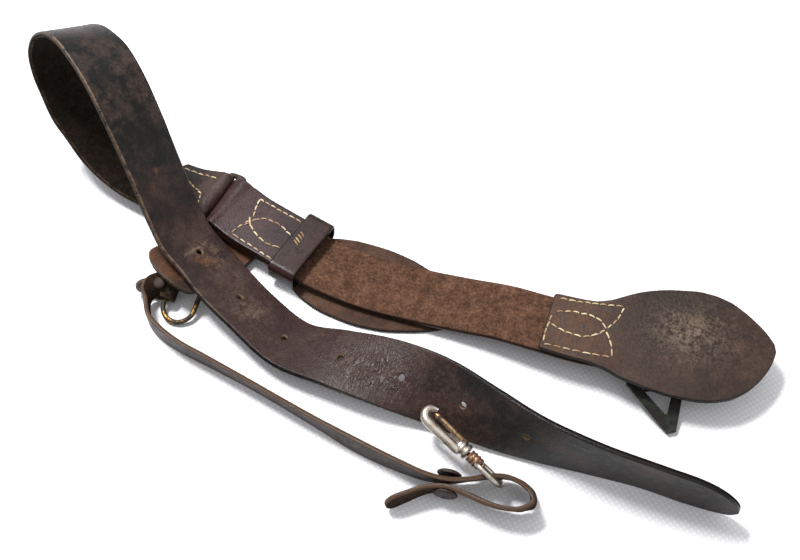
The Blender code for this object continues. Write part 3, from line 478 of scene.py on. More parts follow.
def teardrop_marks(s, a, side):
    """The teardrop's scuffed middle and its browner sewn end."""
    return {
        "scuff": 0.55 * np.exp(-(((s - 98) / 26) ** 2) - (((a - 8) / 19) ** 2)) * (side > 0),
        "wear": np.interp(s, (0, 40, 70, 157), (0.6, 0.5, 0, -0.2)),
        "rust": np.interp(s, (0, 30, 60), (0.3, 0.25, 0)),
    }


teardrop, teardrop_at = leather_strip(
    "teardrop_leather", TEARDROP_ROUTE, teardrop_outline, LEATHER, marks=teardrop_marks
)
teardrop.data.materials.append(
    grain_leather(
        "scuffed leather", "#281b15", "#3a2920", "#523f32", "#0d0a08", "#271d17",
        gloss=0.5, patch=46.0, rubs=0.45,
    )
)
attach(teardrop, "straps")
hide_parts("teardrop_end")


# --- Tab ------------------------------------------------------------------------------------
# A short tab of undyed leather under the shoulder strap, rubbed orange-brown, that the brass
# ring hangs from.

TAB_ROUTE = [
    (-128, 6, 8.6, 97, -20, 0), (-133, -17, 6.9, 97, -15, -6), (-141, -38, 11.8, 97, -15, -20),
    (-150, -57, 23.3, 96, -12, -24), (-156, -71, 27.0, 97, -5, -17),
]
tab_outline = rounded_outline(smooth_line(TAB_ROUTE)[0], STRAP_WIDTH / 2, 4.0, 9.0)
tab, _ = leather_strip("tab_leather", TAB_ROUTE, tab_outline, LEATHER)
russet_leather = grain_leather(
    "russet leather", "#24150c", "#4f2c14", "#5e3c20", "#332922", "#27180f",
    gloss=0.55, patch=22.0, rubs=0.4, crack=0.3,
)
tab.data.materials.append(russet_leather)
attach(tab, "straps")
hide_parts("tab")


# --- Safe -----------------------------------------------------------------------------------
# The thin lozenge of backing leather under the short strap, flesh side up.

SAFE_ROUTE = [(-84, -9, 1.9, 0, 1, 0), (-19, -14, 1.9, 0, 1, 0), (52, -15, 1.9, 0, 1, 0)]
safe_outline = [(0, 14), (12, 24), (26, 31), (44, 35), (64, 36), (84, 34), (102, 29), (120, 22)]
safe_outline += [(smooth_line(SAFE_ROUTE)[0], 12)]
SAFE_LEATHER = 3.0
safe, _ = leather_strip("safe_leather", SAFE_ROUTE, safe_outline, SAFE_LEATHER, edge=1.0)
safe.data.materials.append(
    grain_leather(
        "backing leather", "#35231b", "#4c3628", "#5b4436", "#1e130d", "#312117",
        gloss=0.8, rubs=0.3, crack=0.2,
    )
)
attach(safe, "straps")
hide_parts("safe")


# --- Narrow strap ---------------------------------------------------------------------------
# A strap 18 mm wide, standing on its edge. One end goes round the brass ring's leg, the other
# round the eye of the snap hook, and a stud closes each fold. Its raw edges are pale.

NARROW_WIDTH = 18.0
NARROW_LEATHER = 3.2
RING_BAR = np.array((-143.0, -58.0, 13.6))
RING_DOWN = np.array((0.0, -32.5, -10.6)) / np.linalg.norm((32.5, 10.6))
RING_UP = np.cross((1.0, 0.0, 0.0), -RING_DOWN)
RING_HALF_WIDTH = 12.0
BIGHT = np.array((-0.1, 0, 0.6)) + RING_BAR + np.array((-RING_HALF_WIDTH, 0, 0)) + 11.2 * RING_DOWN
BIGHT_RADIUS = 5.8
NARROW_ROUTE = [
    (-179, -76, 10.2, 1, -3, 9), (-171, -72, 9.4, 0, 1, 9), (-163, -68.6, 6.9, 0, 8, 5),
    *turn_round(BIGHT, -RING_UP, (1, 0, 0), BIGHT_RADIUS, HALF_TURN, (0, 32.5, 10.6)),
    (-160.6, -72.0, 16.9, -1, 8, 4.5), (-164.6, -76.0, 15.0, -3, 3, 9), (-165.6, -82.0, 12.6, 0, 1, 9),
    (-162.5, -89.5, 10.6, 0, 1, 9), (-157, -97, 9.8, 0, 0, 1), (-146, -104, 9.7, 0, 0, 1),
    (-129, -110, 9.6, 0, -1, 12), (-102, -115.5, 9.6, 0, -1, 7), (-72, -121.5, 9.6, 0, -1, 5),
    (-41, -128.5, 9.6, 0, -1, 5), (-13, -135, 9.6, 0, -1, 7), (16, -141.5, 9.6, 0, 0, 1),
    (50, -146.5, 9.6, 0, -1, 12), (70, -148.2, 10.8, 0, -2, 9), (84, -146.9, 12.2, 0, -3, 9),
    (97, -142.0, 13.4, 0, -4, 9),
    (110, -135.8, 13.8, -1, -4, 9), (121, -133.2, 13.9, -1, -4, 9), (130.5, -134.8, 13.9, -1, -4, 9),
    (137, -139.2, 13.9, -1, -4, 9), (138.6, -145.2, 13.9, -1, -4, 9), (133.8, -150.6, 13.8, -1, -4, 9),
    (124, -153.8, 13.6, -1, -4, 9), (111, -154.2, 13.2, 0, -4, 9), (98, -152.4, 12.6, 0, -4, 9),
    (85, -151.8, 11.9, 0, -3, 9), (73, -156.0, 10.6, 0, -2, 9), (60, -166, 9.7, 0, -1, 9),
    (50, -175, 9.6, 0, 0, 1),
]
narrow_outline = rounded_outline(smooth_line(NARROW_ROUTE)[0], NARROW_WIDTH / 2, 5.0, 9.0)
narrow, _ = leather_strip("narrow_strap_leather", NARROW_ROUTE, narrow_outline, NARROW_LEATHER, edge=0.9)
raw_edged_leather = grain_leather(
    "raw-edged leather", "#1c1412", "#312320", "#473731", "#4b3a2d", "#2c221a", gloss=0.45, patch=22.0
)
narrow.data.materials.append(raw_edged_leather)
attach(narrow, "straps")
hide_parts("narrow_strap")


# --- Chapes ---------------------------------------------------------------------------------
# Two short folds of thin leather: one round the iron loop's bar under the teardrop end, one
# round the brass ring's bar under the tab.

LOOP_BAR = np.array((196.5, -31.0, 14.3))
LOOP_ALONG = np.array((31.0, 18.5, 0.0)) / math.hypot(31.0, 18.5)
LOOP_BACK = np.array((-LOOP_ALONG[1], LOOP_ALONG[0], 0.0))
LOOP_FOLD = 5.6
LOOP_CHAPE_LEATHER = 2.8
loop_ply = LOOP_CHAPE_LEATHER + GAP
loop_rows = [
    (*(LOOP_BAR + LOOP_BACK * 26 + (0, 0, LOOP_FOLD + 1.5)), *-LOOP_ALONG),
    (*(LOOP_BAR + LOOP_BACK * 12 + (0, 0, LOOP_FOLD + 0.3)), *-LOOP_ALONG),
    *turn_round(LOOP_BAR, (0, 0, 1), -LOOP_BACK, LOOP_FOLD, HALF_TURN, -LOOP_ALONG),
    (*(LOOP_BAR + LOOP_BACK * 9 + (0, 0, LOOP_FOLD - 1.6 * loop_ply)), *-LOOP_ALONG),
    (*(LOOP_BAR + LOOP_BACK * 16 + (0, 0, LOOP_FOLD + 0.6 - loop_ply)), *-LOOP_ALONG),
    (*(LOOP_BAR + LOOP_BACK * 26 + (0, 0, LOOP_FOLD + 1.5 - loop_ply)), *-LOOP_ALONG),
]
loop_chape_outline = rounded_outline(smooth_line(loop_rows)[0], 9.6, 3.0, 3.0)
loop_chape, _ = leather_strip(
    "iron_loop_chape_leather", loop_rows, loop_chape_outline, LOOP_CHAPE_LEATHER, step=1.2, edge=0.8
)
loop_chape.data.materials.append(
    grain_leather("blackened leather", "#0f0b09", "#1a1311", "#2b221a", "#0d0908", "#18120e", gloss=0.5)
)
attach(loop_chape, "straps")
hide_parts("iron_loop_chape")

RING_CHAPE_LEATHER = 2.0
ring_bar_middle = RING_BAR + (-0.3, 0, 0)
over, under = ((16, -5.8), (12, -3.8), (6, -0.2)), ((4.5, -3.0), (8, -4.6), (12, -6.7), (16, -8.8))
ring_rows = [(*(ring_bar_middle + (0, away, up)), 1, 0, 0) for away, up in over]
ring_rows += turn_round(ring_bar_middle, (0, 0, 1), (0, -1, 0), 3.4, HALF_TURN, (1, 0, 0))
ring_rows += [(*(ring_bar_middle + (0, away, up)), 1, 0, 0) for away, up in under]
ring_chape_outline = rounded_outline(smooth_line(ring_rows)[0], 3.8, 2.0, 2.0)
ring_chape, _ = leather_strip(
    "brass_ring_chape_leather", ring_rows, ring_chape_outline, RING_CHAPE_LEATHER, step=0.8, edge=0.6
)
ring_chape.data.materials.append(russet_leather)
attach(ring_chape, "straps")
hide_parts("brass_ring_chape")


# --- Keeper ---------------------------------------------------------------------------------
# A loop of 3 mm leather, 22 mm wide, round both layers of the short strap. It is sewn at the
# back and slides along the strap.

KEEPER_CENTRE = np.array((-75.0, -8.0, 14.6))
KEEPER_ALONG = np.array((21.0, -4.2, -2.2)) / np.linalg.norm((21.0, 4.2, 2.2))
KEEPER_WIDTH = 22.0
KEEPER_LEATHER = 3.0


def rounded_box_line(half_x, half_z, corner, count):
    """Points round a rectangle's round corners, and the outward direction at each: the corner circle's centre
    plus the radius in that direction."""
    turns = np.linspace(0, 2 * math.pi, count, endpoint=False)
    out = np.stack([np.cos(turns), np.sin(turns)], 1)
    hold = np.sign(np.round(out, 9)) * (half_x - corner, half_z - corner)
    return hold + corner * out, out


def ring_of_leather(name, centre, along, half_x, half_z, thick, width):
    """A leather loop: a rounded-rectangle line, its sides filled with points 2 mm apart, and across it a
    section that is a superellipse: cos to the power 0.16 by sin to the power 0.45."""
    side = np.cross((0, 0, 1.0), along)
    side /= np.linalg.norm(side)
    rise = np.cross(along, side)
    corners, out = rounded_box_line(half_x, half_z, 2.4, 96)
    steps = np.linalg.norm(np.roll(corners, -1, axis=0) - corners, axis=1)
    counts = np.maximum(1, np.round(steps / 2.0)).astype(int)
    shares = np.concatenate([np.arange(n) / n for n in counts])[:, None]
    owner = np.repeat(np.arange(len(counts)), counts)
    line = corners[owner] * (1 - shares) + corners[(owner + 1) % len(corners)] * shares
    out = out[owner] * (1 - shares) + out[(owner + 1) % len(corners)] * shares
    out /= np.linalg.norm(out, axis=1)[:, None]
    turns = np.linspace(0, 2 * math.pi, 40, endpoint=False)
    cut_x = np.sign(np.cos(turns)) * np.abs(np.cos(turns)) ** 0.16 * width / 2
    cut_w = np.sign(np.sin(turns)) * np.abs(np.sin(turns)) ** 0.45 * thick / 2 + thick / 2
    distance = np.r_[0, np.cumsum(np.linalg.norm(np.diff(line, axis=0), axis=1))]
    sway = 0.25 * np.sin(distance / 9.0)[:, None]
    flat = line[:, None, :] + out[:, None, :] * cut_w[None, :, None]
    points = centre + (cut_x + sway)[..., None] * along + flat[..., :1] * side + flat[..., 1:] * rise
    count, around = len(line), len(turns)
    index = np.arange(count * around).reshape(count, around)
    there, beside = np.roll(index, -1, axis=0), np.roll(index, -1, axis=1)
    faces = np.stack([index, there, np.roll(there, -1, axis=1), beside], -1).reshape(-1, 4)
    near = np.exp(-(width / 2 - np.abs(cut_x)) / 1.2) * np.ones((count, 1))
    facing = (cut_w > thick * 0.4).astype(float) * np.ones((count, 1))
    uv = np.stack([np.tile(distance[:, None], (1, around)), np.tile(cut_x, (count, 1))], -1).reshape(-1, 2)
    values = {"rim": near.ravel(), "face": facing.ravel()}
    return surface(name, points.reshape(-1, 3), faces, uv, values)


KEEPER_REACH = (2 * LEATHER + GAP) / 2 + 1.6
keeper = ring_of_leather(
    "keeper_leather", KEEPER_CENTRE, KEEPER_ALONG, STRAP_WIDTH / 2 + 2.3, KEEPER_REACH, KEEPER_LEATHER,
    KEEPER_WIDTH,
)
keeper.data.materials.append(
    grain_leather(
        "polished keeper leather", "#1a0d09", "#2c1711", "#3a221b", "#0d0807", "#1a130f",
        gloss=0.3, rubs=0.3, wrinkle=0.1, crack=0.1, depth=0.3,
    )
)
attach(keeper, "keeper")
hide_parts("keeper")


# --- Stitching ------------------------------------------------------------------------------
# Waxed linen thread sewn by hand: stitches 5 mm long and 1.2 mm thick, 6.2 mm apart, each
# sunk into the leather at both ends. The rows follow the sewn ends' borders, with two arcs
# crossing in the middle.

STITCH_PITCH = 6.2
STITCH_LENGTH = 5.0
STITCH_RADIUS = 0.62


def polyline_stitches(lines):
    """Start and end of each stitch along lines of (along, across) points, one pitch apart."""
    starts, ends = [], []
    for line in lines:
        line = np.array(line, float)
        reach = np.r_[0, np.cumsum(np.linalg.norm(np.diff(line, axis=0), axis=1))]
        count = max(1, round(reach[-1] / STITCH_PITCH))
        first = (np.arange(count) + 0.1) * reach[-1] / count
        last = first + STITCH_LENGTH / STITCH_PITCH * reach[-1] / count
        starts.append(np.stack([np.interp(first, reach, line[:, k]) for k in range(2)], 1))
        ends.append(np.stack([np.interp(last, reach, line[:, k]) for k in range(2)], 1))
    return np.concatenate(starts), np.concatenate(ends)


def arc_line(start, end, bulge):
    """Points on a shallow arc between two spots: the chord plus a half sine of the given height."""
    t = np.linspace(0, 1, 15)[:, None]
    start, end = np.array(start, float), np.array(end, float)
    chord = end - start
    normal = np.array((-chord[1], chord[0])) / np.linalg.norm(chord)
    return (start + chord * t + normal * bulge * np.sin(math.pi * t)).tolist()


def stitch_row(name, at, lift, lines):
    """Many stitches as one mesh: each is a round thread whose middle line runs straight between its ends, rises
    as the root of a half sine, and thins towards both ends."""
    starts, ends = polyline_stitches(lines)
    rng = np.random.default_rng(7)
    starts = starts + rng.normal(0, 0.22, starts.shape)
    ends = ends + rng.normal(0, 0.22, ends.shape)
    t = np.linspace(0, 1, 9)
    turns = np.linspace(0, 2 * math.pi, 8, endpoint=False)
    flat = starts[:, None] * (1 - t)[None, :, None] + ends[:, None] * t[None, :, None]
    rise = -0.35 + 0.75 * np.sin(math.pi * t) ** 0.5
    middle, across, outward = at(flat[..., 0])
    spine = middle + flat[..., 1:] * across + (lift + rise)[None, :, None] * outward
    tangent = np.gradient(spine, axis=1)
    tangent /= np.linalg.norm(tangent, axis=2)[..., None]
    flank = np.cross(tangent, outward)
    flank /= np.linalg.norm(flank, axis=2)[..., None]
    radius = STITCH_RADIUS * (0.35 + 0.65 * np.sin(math.pi * np.clip(t, 0.04, 0.96)) ** 0.4)
    spoke = np.cos(turns)[:, None] * flank[:, :, None] + 0.8 * np.sin(turns)[:, None] * outward[:, :, None]
    points = spine[:, :, None] + radius[:, None, None] * spoke
    count, rings, around = points.shape[:3]
    index = np.arange(count * rings * around).reshape(count, rings, around)
    beside = np.roll(index, -1, axis=2)
    sides = np.stack([index[:, :-1], index[:, 1:], beside[:, 1:], beside[:, :-1]], -1).reshape(-1, 4)
    tops = np.concatenate([index[:, 0, ::-1], index[:, -1]])
    faces = np.concatenate([sides, tops[:, (0, 1, 2, 3)], tops[:, (0, 3, 4, 7)], tops[:, (4, 5, 6, 7)]])
    uv = np.stack(np.broadcast_arrays(t[None, :, None] * STITCH_LENGTH, turns[None, None, :]), -1)
    uv = np.broadcast_to(uv, (count, rings, around, 2)).reshape(-1, 2)
    shade = np.repeat(rng.uniform(0, 1, count), rings * around)
    made = surface(name, points.reshape(-1, 3), faces, uv, {"shade": shade})
    made.data.materials.append(thread_material)
    return made


def linen_material(name, clean, grubby):
    """Waxed linen: cream where it is proud of the leather, brown where dressing has soaked in."""
    made, tree, shader = finish_material(name)
    shade = add(tree, "ShaderNodeAttribute", attribute_name="shade").outputs["Fac"]
    place = add(tree, "ShaderNodeTexCoord").outputs["Object"]
    soak = add(tree, "ShaderNodeTexNoise", {"Vector": place, "Scale": 1000 / 9.0, "Detail": 3.0})
    amount = add(tree, "ShaderNodeMath", {0: shade, 1: 0.45, 2: soak.outputs[0]}, operation="MULTIPLY_ADD")
    spread = add(tree, "ShaderNodeMapRange", {0: amount.outputs[0], 1: 0.45, 2: 1.0, 3: 0.0, 4: 1.0})
    tones = {0: spread.outputs[0], 6: linear(clean), 7: linear(grubby)}
    mixed = add(tree, "ShaderNodeMix", tones, data_type="RGBA")
    tree.links.new(mixed.outputs[2], shader.inputs["Base Color"])
    shader.inputs["Roughness"].default_value = 0.75
    twist = {"Vector": place, "Scale": 1000 / 0.7, "Distortion": 2.0}
    strands = add(tree, "ShaderNodeTexWave", twist, bands_direction="DIAGONAL")
    bump = add(tree, "ShaderNodeBump", {"Height": strands.outputs[0], "Strength": 0.4, "Distance": 0.0002})
    tree.links.new(bump.outputs[0], shader.inputs["Normal"])
    return made


thread_material = linen_material("waxed linen", "#decfa8", "#8f6d4a")
TOP = LEATHER / 2

turned_end = stitch_row(
    "short_strap_stitches", short_at, TOP,
    [
        [(50, -18), (9, -19)], [(44, 19.5), (8, 21)], [(50, -18), (42, -2)],
        [(40, 4), (44, 10), (44.5, 19)],
        [(40, 1), (34, -6.4), (19.6, -7.6), (8.5, -4.4)], [(40, 5), (30, 9.6), (18, 12.6), (9, 9)],
        [(44.5, -1), (38.5, 6)], [(38, -2), (43.5, 6)],
    ],
)
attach(turned_end, "straps")
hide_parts("short_strap_thread")

loop_end = stitch_row(
    "shoulder_strap_stitches", shoulder_at, TOP,
    [
        [(4, 18.5), (16, 18), (37, 16)], [(4, -19), (36, -19)], [(14, 9), (22, 4), (33, -1), (38, -13)],
        [(4, 16), (4, -16)], arc_line((14, 9), (8, -12), 5),
    ],
)
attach(loop_end, "straps")
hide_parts("shoulder_strap_thread")

drop_end = stitch_row(
    "teardrop_stitches", teardrop_at, TOP,
    [
        [(4, 20), (28, 21.5), (52, 22.5)], [(53, 22), (49, 12), (42, 3)],
        [(41, 1.5), (45.5, -6), (47, -17.5)], [(46, -18), (30, -18.3), (14, -19.2), (3, -19.8)],
        [(4, 8.4), (16, 11.4), (30, 12), (37, 8.6), (41.5, 3)],
        [(3, -2.4), (12, -5.6), (27, -6.6), (35, -3), (41, 2.5)], [(2.6, 5), (1.8, -6), (1.8, -18)],
    ],
)
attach(drop_end, "straps")
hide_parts("teardrop_thread")

KEEPER_SIDE = np.cross((0, 0, 1.0), KEEPER_ALONG) / np.linalg.norm(np.cross((0, 0, 1.0), KEEPER_ALONG))


def keeper_top(along):
    """The keeper's upper face as a strip: its middle, the direction across and the outward one."""
    along = np.asarray(along, float)
    flat = np.ones(along.shape + (1,))
    rise = np.cross(KEEPER_ALONG, KEEPER_SIDE)
    middle = KEEPER_CENTRE + along[..., None] * KEEPER_ALONG + flat * rise * KEEPER_REACH
    return middle, flat * KEEPER_SIDE, flat * rise


slants = [[(-7.5, high), (-1.5, high - 3)] for high in (9, 6, 3, 0)]
whipped = stitch_row("keeper_stitches", keeper_top, KEEPER_LEATHER, slants)
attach(whipped, "keeper")


# --- Brass ring -----------------------------------------------------------------------------
# A D of brass wire 3.6 mm thick, its joint soldered in the bar. It is dull brown but for the bright
# streaks where the strap has rubbed it.

RING_LEG = 22.0
RING_WIRE = 3.56


def wire(name, path, normal, radii, closed=True, around=20):
    """A round wire: circles carried along a path that lies in one plane. The circle's directions are the
    plane's normal and the tangent crossed with it."""
    path = np.array(path, float)
    if closed:
        tangent = np.roll(path, -1, axis=0) - np.roll(path, 1, axis=0)
    else:
        tangent = np.gradient(path, axis=0)
    tangent /= np.linalg.norm(tangent, axis=1)[:, None]
    normal = np.array(normal, float) / np.linalg.norm(normal)
    out = np.cross(tangent, normal)
    out /= np.linalg.norm(out, axis=1)[:, None]
    turns = np.linspace(0, 2 * math.pi, around, endpoint=False)
    radii = np.broadcast_to(radii, len(path))
    spokes = np.cos(turns)[None, :, None] * out[:, None] + np.sin(turns)[None, :, None] * normal
    points = path[:, None] + radii[:, None, None] * spokes
    count = len(path)
    index = np.arange(count * around).reshape(count, around)
    beside = np.roll(index, -1, axis=1)
    points = points.reshape(-1, 3)
    if closed:
        faces = np.stack([index, np.roll(index, -1, axis=0), np.roll(beside, -1, axis=0), beside], -1)
        faces = faces.reshape(-1, 4)
    else:
        faces = np.stack([index[:-1], index[1:], beside[1:], beside[:-1]], -1).reshape(-1, 4)
        points = np.r_[points, path[:1], path[-1:]]
        faces = np.r_[faces, end_fans(index)]
    reach = np.r_[0, np.cumsum(np.linalg.norm(np.diff(path, axis=0), axis=1))]
    uv = np.stack([np.repeat(reach, around), np.tile(turns, count)], 1)
    uv = np.r_[uv, np.zeros((len(points) - len(uv), 2))]
    return surface(name, points, faces, uv, {})


def rounded(points, corner, closed=True, steps=9):
    """A path through points whose corners are rounded: a quadratic curve from the corner's distance before each
    point to the same distance after it."""
    points = np.array(points, float)
    before, after = np.roll(points, 1, axis=0), np.roll(points, -1, axis=0)
    towards = before - points
    onwards = after - points
    start = points + towards / np.linalg.norm(towards, axis=1)[:, None] * corner
    end = points + onwards / np.linalg.norm(onwards, axis=1)[:, None] * corner
    t = np.linspace(0, 1, steps)[None, :, None]
    curves = start[:, None] * (1 - t) ** 2 + 2 * points[:, None] * t * (1 - t) + end[:, None] * t**2
    if closed:
        return curves.reshape(-1, 3)
    return np.concatenate([points[:1], curves[1:-1].reshape(-1, 3), points[-1:]])


def old_metal(name, bright, dull, grime, cover, gloss, pits=0.3, spots=6.0):
    """Worn metal: bare and bright on what is handled, dull between, with brown grime or rust in patches that
    isn't metallic. cover is how much of it is grime, from 0 to 1, and spots is its patches' size, mm."""
    made, tree, shader = finish_material(name)

    def noise(size, detail, roughness):
        inputs = {"Vector": place, "Scale": 1000 / size, "Detail": detail, "Roughness": roughness}
        return add(tree, "ShaderNodeTexNoise", inputs).outputs[0]

    def ramp(value, low, high, start=0.0, end=1.0):
        return add(tree, "ShaderNodeMapRange", {0: value, 1: low, 2: high, 3: start, 4: end}).outputs[0]

    def blend(share, first, second):
        return add(tree, "ShaderNodeMix", {0: share, 6: first, 7: second}, data_type="RGBA").outputs[2]

    place = add(tree, "ShaderNodeTexCoord").outputs["Object"]
    clouds = noise(spots, 6.0, 0.65)
    metal = blend(ramp(clouds, 0.4, 0.6), linear(bright), linear(dull))
    mixed = {0: noise(0.8, 5.0, 0.7), 1: 0.5, 2: clouds}
    both = add(tree, "ShaderNodeMath", mixed, operation="MULTIPLY_ADD").outputs[0]
    edge = 1.02 - 0.5 * cover
    dirt = ramp(both, edge - 0.05, edge + 0.05)
    tree.links.new(blend(dirt, metal, linear(grime)), shader.inputs["Base Color"])
    tree.links.new(ramp(dirt, 0.0, 1.0, 1.0, 0.15), shader.inputs["Metallic"])
    tree.links.new(ramp(both, 0.5, 1.0, gloss, min(1.0, gloss + 0.45)), shader.inputs["Roughness"])
    bump = add(tree, "ShaderNodeBump", {"Height": both, "Strength": pits, "Distance": 0.0003})
    tree.links.new(bump.outputs[0], shader.inputs["Normal"])
    return made


turns = np.linspace(0, math.pi, 40)[:, None]
ring_arc = RING_BAR + RING_DOWN * (RING_LEG + RING_HALF_WIDTH * np.sin(turns))
ring_arc += np.cos(turns) * (RING_HALF_WIDTH, 0, 0)
ring_corners = [RING_BAR + (-RING_HALF_WIDTH, 0, 0), RING_BAR + (RING_HALF_WIDTH, 0, 0)]
ring_bends = rounded([ring_arc[-1], *ring_corners, ring_arc[0]], 3.5, closed=False)[1:-1]
brass = wire("brass_ring_wire", np.r_[ring_arc, ring_bends], RING_UP, RING_WIRE / 2)
brass.data.materials.append(old_metal("aged brass", "#94733c", "#4f3a20", "#2c2014", 0.62, 0.3))
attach(brass, "brass_ring")
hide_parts("brass_ring")


# --- Iron loop ------------------------------------------------------------------------------
# A triangle forged from 6.5 by 2.6 mm strip, blackened, with silver wear along its outer
# edge and a little rust in the corners.

LOOP_APEX = np.array((215.0, -62.0, 2.6))
LOOP_STRIP = 6.5
LOOP_PLATE = 2.6
loop_height = float(np.linalg.norm(LOOP_APEX - LOOP_BAR))
LOOP_DOWN = (LOOP_APEX - LOOP_BAR) / loop_height
LOOP_FACE = np.cross(LOOP_ALONG, -LOOP_DOWN)


def flat_ring(name, outer, inner, thick, bevel, origin, x, y, z):
    """A flat ring between two closed outlines with matching points: a section of eight points, its four corners
    bevelled, goes from the outer line over the top to the inner line and back underneath."""
    outer, inner = np.array(outer, float), np.array(inner, float)
    wall = inner - outer
    step = wall / np.linalg.norm(wall, axis=1)[:, None]
    half = thick / 2
    cut = step * bevel
    rows = [
        (outer, -half + bevel), (outer, half - bevel), (outer + cut, half), (inner - cut, half),
        (inner, half - bevel), (inner, -half + bevel), (inner - cut, -half), (outer + cut, -half),
    ]
    flat = np.stack([np.c_[line, np.full(len(line), height)] for line, height in rows], 1)
    points = np.array(origin) + flat[..., :1] * x + flat[..., 1:2] * y + flat[..., 2:] * z
    index = np.arange(points.shape[0] * 8).reshape(-1, 8)
    there = np.roll(index, -1, axis=0)
    faces = np.stack([index, there, np.roll(there, -1, axis=1), np.roll(index, -1, axis=1)], -1)
    made = surface(name, points.reshape(-1, 3), faces.reshape(-1, 4), flat.reshape(-1, 3)[:, :2], {})
    made.data.shade_flat()
    return made


def along_edges(corners, counts):
    """Points along a polygon, each side cut into its own number of pieces."""
    corners = np.array(corners, float)
    sides = [
        corners[k] + (corners[(k + 1) % len(corners)] - corners[k]) * np.arange(n)[:, None] / n
        for k, n in enumerate(counts)
    ]
    return np.concatenate(sides)


LOOP_BAR_LENGTH = 39.0
half_bar = LOOP_BAR_LENGTH / 2
inner_bar = half_bar - LOOP_STRIP * 1.05
outer_foot, inner_foot = -loop_height + 0.6, -loop_height + 13.5
cuts = (10, 3, 12, 3, 12, 3)
outer_line = along_edges(
    [
        (-half_bar - 1.4, 3.0), (half_bar + 1.4, 3.0), (half_bar + 2, 0.2), (3.0, outer_foot),
        (-3.0, outer_foot), (-half_bar - 2, 0.2),
    ],
    cuts,
)
inner_line = along_edges(
    [
        (-inner_bar, -3.0), (inner_bar, -3.0), (inner_bar - 0.3, -3.5), (0.9, inner_foot), (-0.9, inner_foot),
        (-inner_bar + 0.3, -3.5),
    ],
    cuts,
)
iron = flat_ring(
    "iron_loop_strip", outer_line, inner_line, LOOP_PLATE, 0.5, LOOP_BAR, LOOP_ALONG, -LOOP_DOWN, LOOP_FACE
)
iron.data.materials.append(
    old_metal("forged iron", "#3f413c", "#1b1c19", "#241912", 0.45, 0.45, pits=0.5, spots=9.0)
)
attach(iron, "iron_loop")
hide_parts("iron_loop")


# --- Snap hook ------------------------------------------------------------------------------
# A cast swivel snap, 72 mm long with its eye, its nickel plate worn through: a round body with a turned
# nose, a brass gate beside it on a pin, two collars, and an eye that turns on a peened stem.

COLLAR = np.array((87.8, -126.0, 18.0))
NOSE = np.array((54.0, -110.5, 24.5))
HOOK_ALONG = (NOSE - COLLAR) / np.linalg.norm(NOSE - COLLAR)
HOOK_SIDE = np.cross((0, 0, 1.0), -HOOK_ALONG)
HOOK_SIDE /= np.linalg.norm(HOOK_SIDE)
HOOK_FACE = np.cross(HOOK_SIDE, HOOK_ALONG)
EYE_TILT = math.radians(27)
EYE_UP = math.cos(EYE_TILT) * HOOK_FACE - math.sin(EYE_TILT) * HOOK_SIDE


def on_hook(along, side=0.0, face=0.0):
    """Points counted from the collar: towards the nose, the gate's side and the upper face, mm."""
    along, side, face = np.broadcast_arrays(np.atleast_1d(along).astype(float), side, face)
    return COLLAR + along[:, None] * HOOK_ALONG + side[:, None] * HOOK_SIDE + face[:, None] * HOOK_FACE


def turned(name, profile, base, axis, around=32):
    """A turned solid: (radius, height) pairs spun round an axis, closed at both ends on it."""
    profile = np.array(profile, float)
    axis = np.array(axis, float) / np.linalg.norm(axis)
    first = np.cross(axis, (0.3, 0.9, 0.2))
    first /= np.linalg.norm(first)
    second = np.cross(axis, first)
    turns = np.linspace(0, 2 * math.pi, around, endpoint=False)
    spoke = np.cos(turns)[:, None] * first + np.sin(turns)[:, None] * second
    points = np.array(base) + profile[:, None, :1] * spoke[None] + profile[:, None, 1:] * axis
    count = len(profile)
    index = np.arange(count * around).reshape(count, around)
    beside = np.roll(index, -1, axis=1)
    faces = np.stack([index[:-1], index[1:], beside[1:], beside[:-1]], -1).reshape(-1, 4)
    ends = np.array(base) + profile[(0, -1), 1][:, None] * axis
    points = np.r_[points.reshape(-1, 3), ends]
    uv = np.stack([np.repeat(profile[:, 1], around), np.tile(turns, count)], 1)
    uv = np.r_[uv, [(0, 0), (0, 0)]]
    return surface(name, points, np.r_[faces, end_fans(index)], uv, {"face": np.ones(len(points))})


nickel = old_metal("worn nickel plate", "#d8d0c4", "#a89c8f", "#4a382a", 0.26, 0.12, pits=0.1, spots=7.0)
rusty = old_metal("rusted steel", "#b08f70", "#7d5c46", "#5a3526", 0.55, 0.28, pits=0.5, spots=3.0)
gate_brass = old_metal("rubbed brass", "#a08565", "#6d563e", "#33261b", 0.5, 0.3, spots=4.0)

BODY_RADIUS = 3.4
nose_turn = np.radians(np.linspace(-78, 78, 30))
body_line = np.r_[
    on_hook(np.linspace(2, 28, 24), -BODY_RADIUS),
    on_hook(29.5 + 6.2 * np.cos(nose_turn), 2.1 + 5.5 * np.sin(nose_turn)),
]
nose_taper = np.interp(np.degrees(nose_turn), (-78, -20, 20, 78), (1.0, 0.98, 0.86, 0.4))
body_radii = BODY_RADIUS * np.r_[np.linspace(0.94, 1.0, 24), nose_taper]
hook_bar = wire("hook_body_bar", body_line, HOOK_FACE, body_radii, closed=False, around=28)
hook_bar.data.materials.append(nickel)
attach(hook_bar, "hook_body")
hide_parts("hook_body")

collar_profile = [
    (1.6, -3.2), (4.6, -3.2), (5.3, -2.6), (5.6, -1.6), (5.3, -0.6), (4.5, -0.1), (4.3, 0.4), (4.7, 0.9),
    (5.5, 1.4), (5.6, 2.4), (5.4, 3.2), (4.6, 3.8), (4.5, 4.6), (4.3, 5.4), (3.4, 6.1), (1.0, 6.2),
]
collars = turned("hook_collars", collar_profile, COLLAR, HOOK_ALONG)
collars.data.materials.append(nickel)
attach(collars, "hook_body")

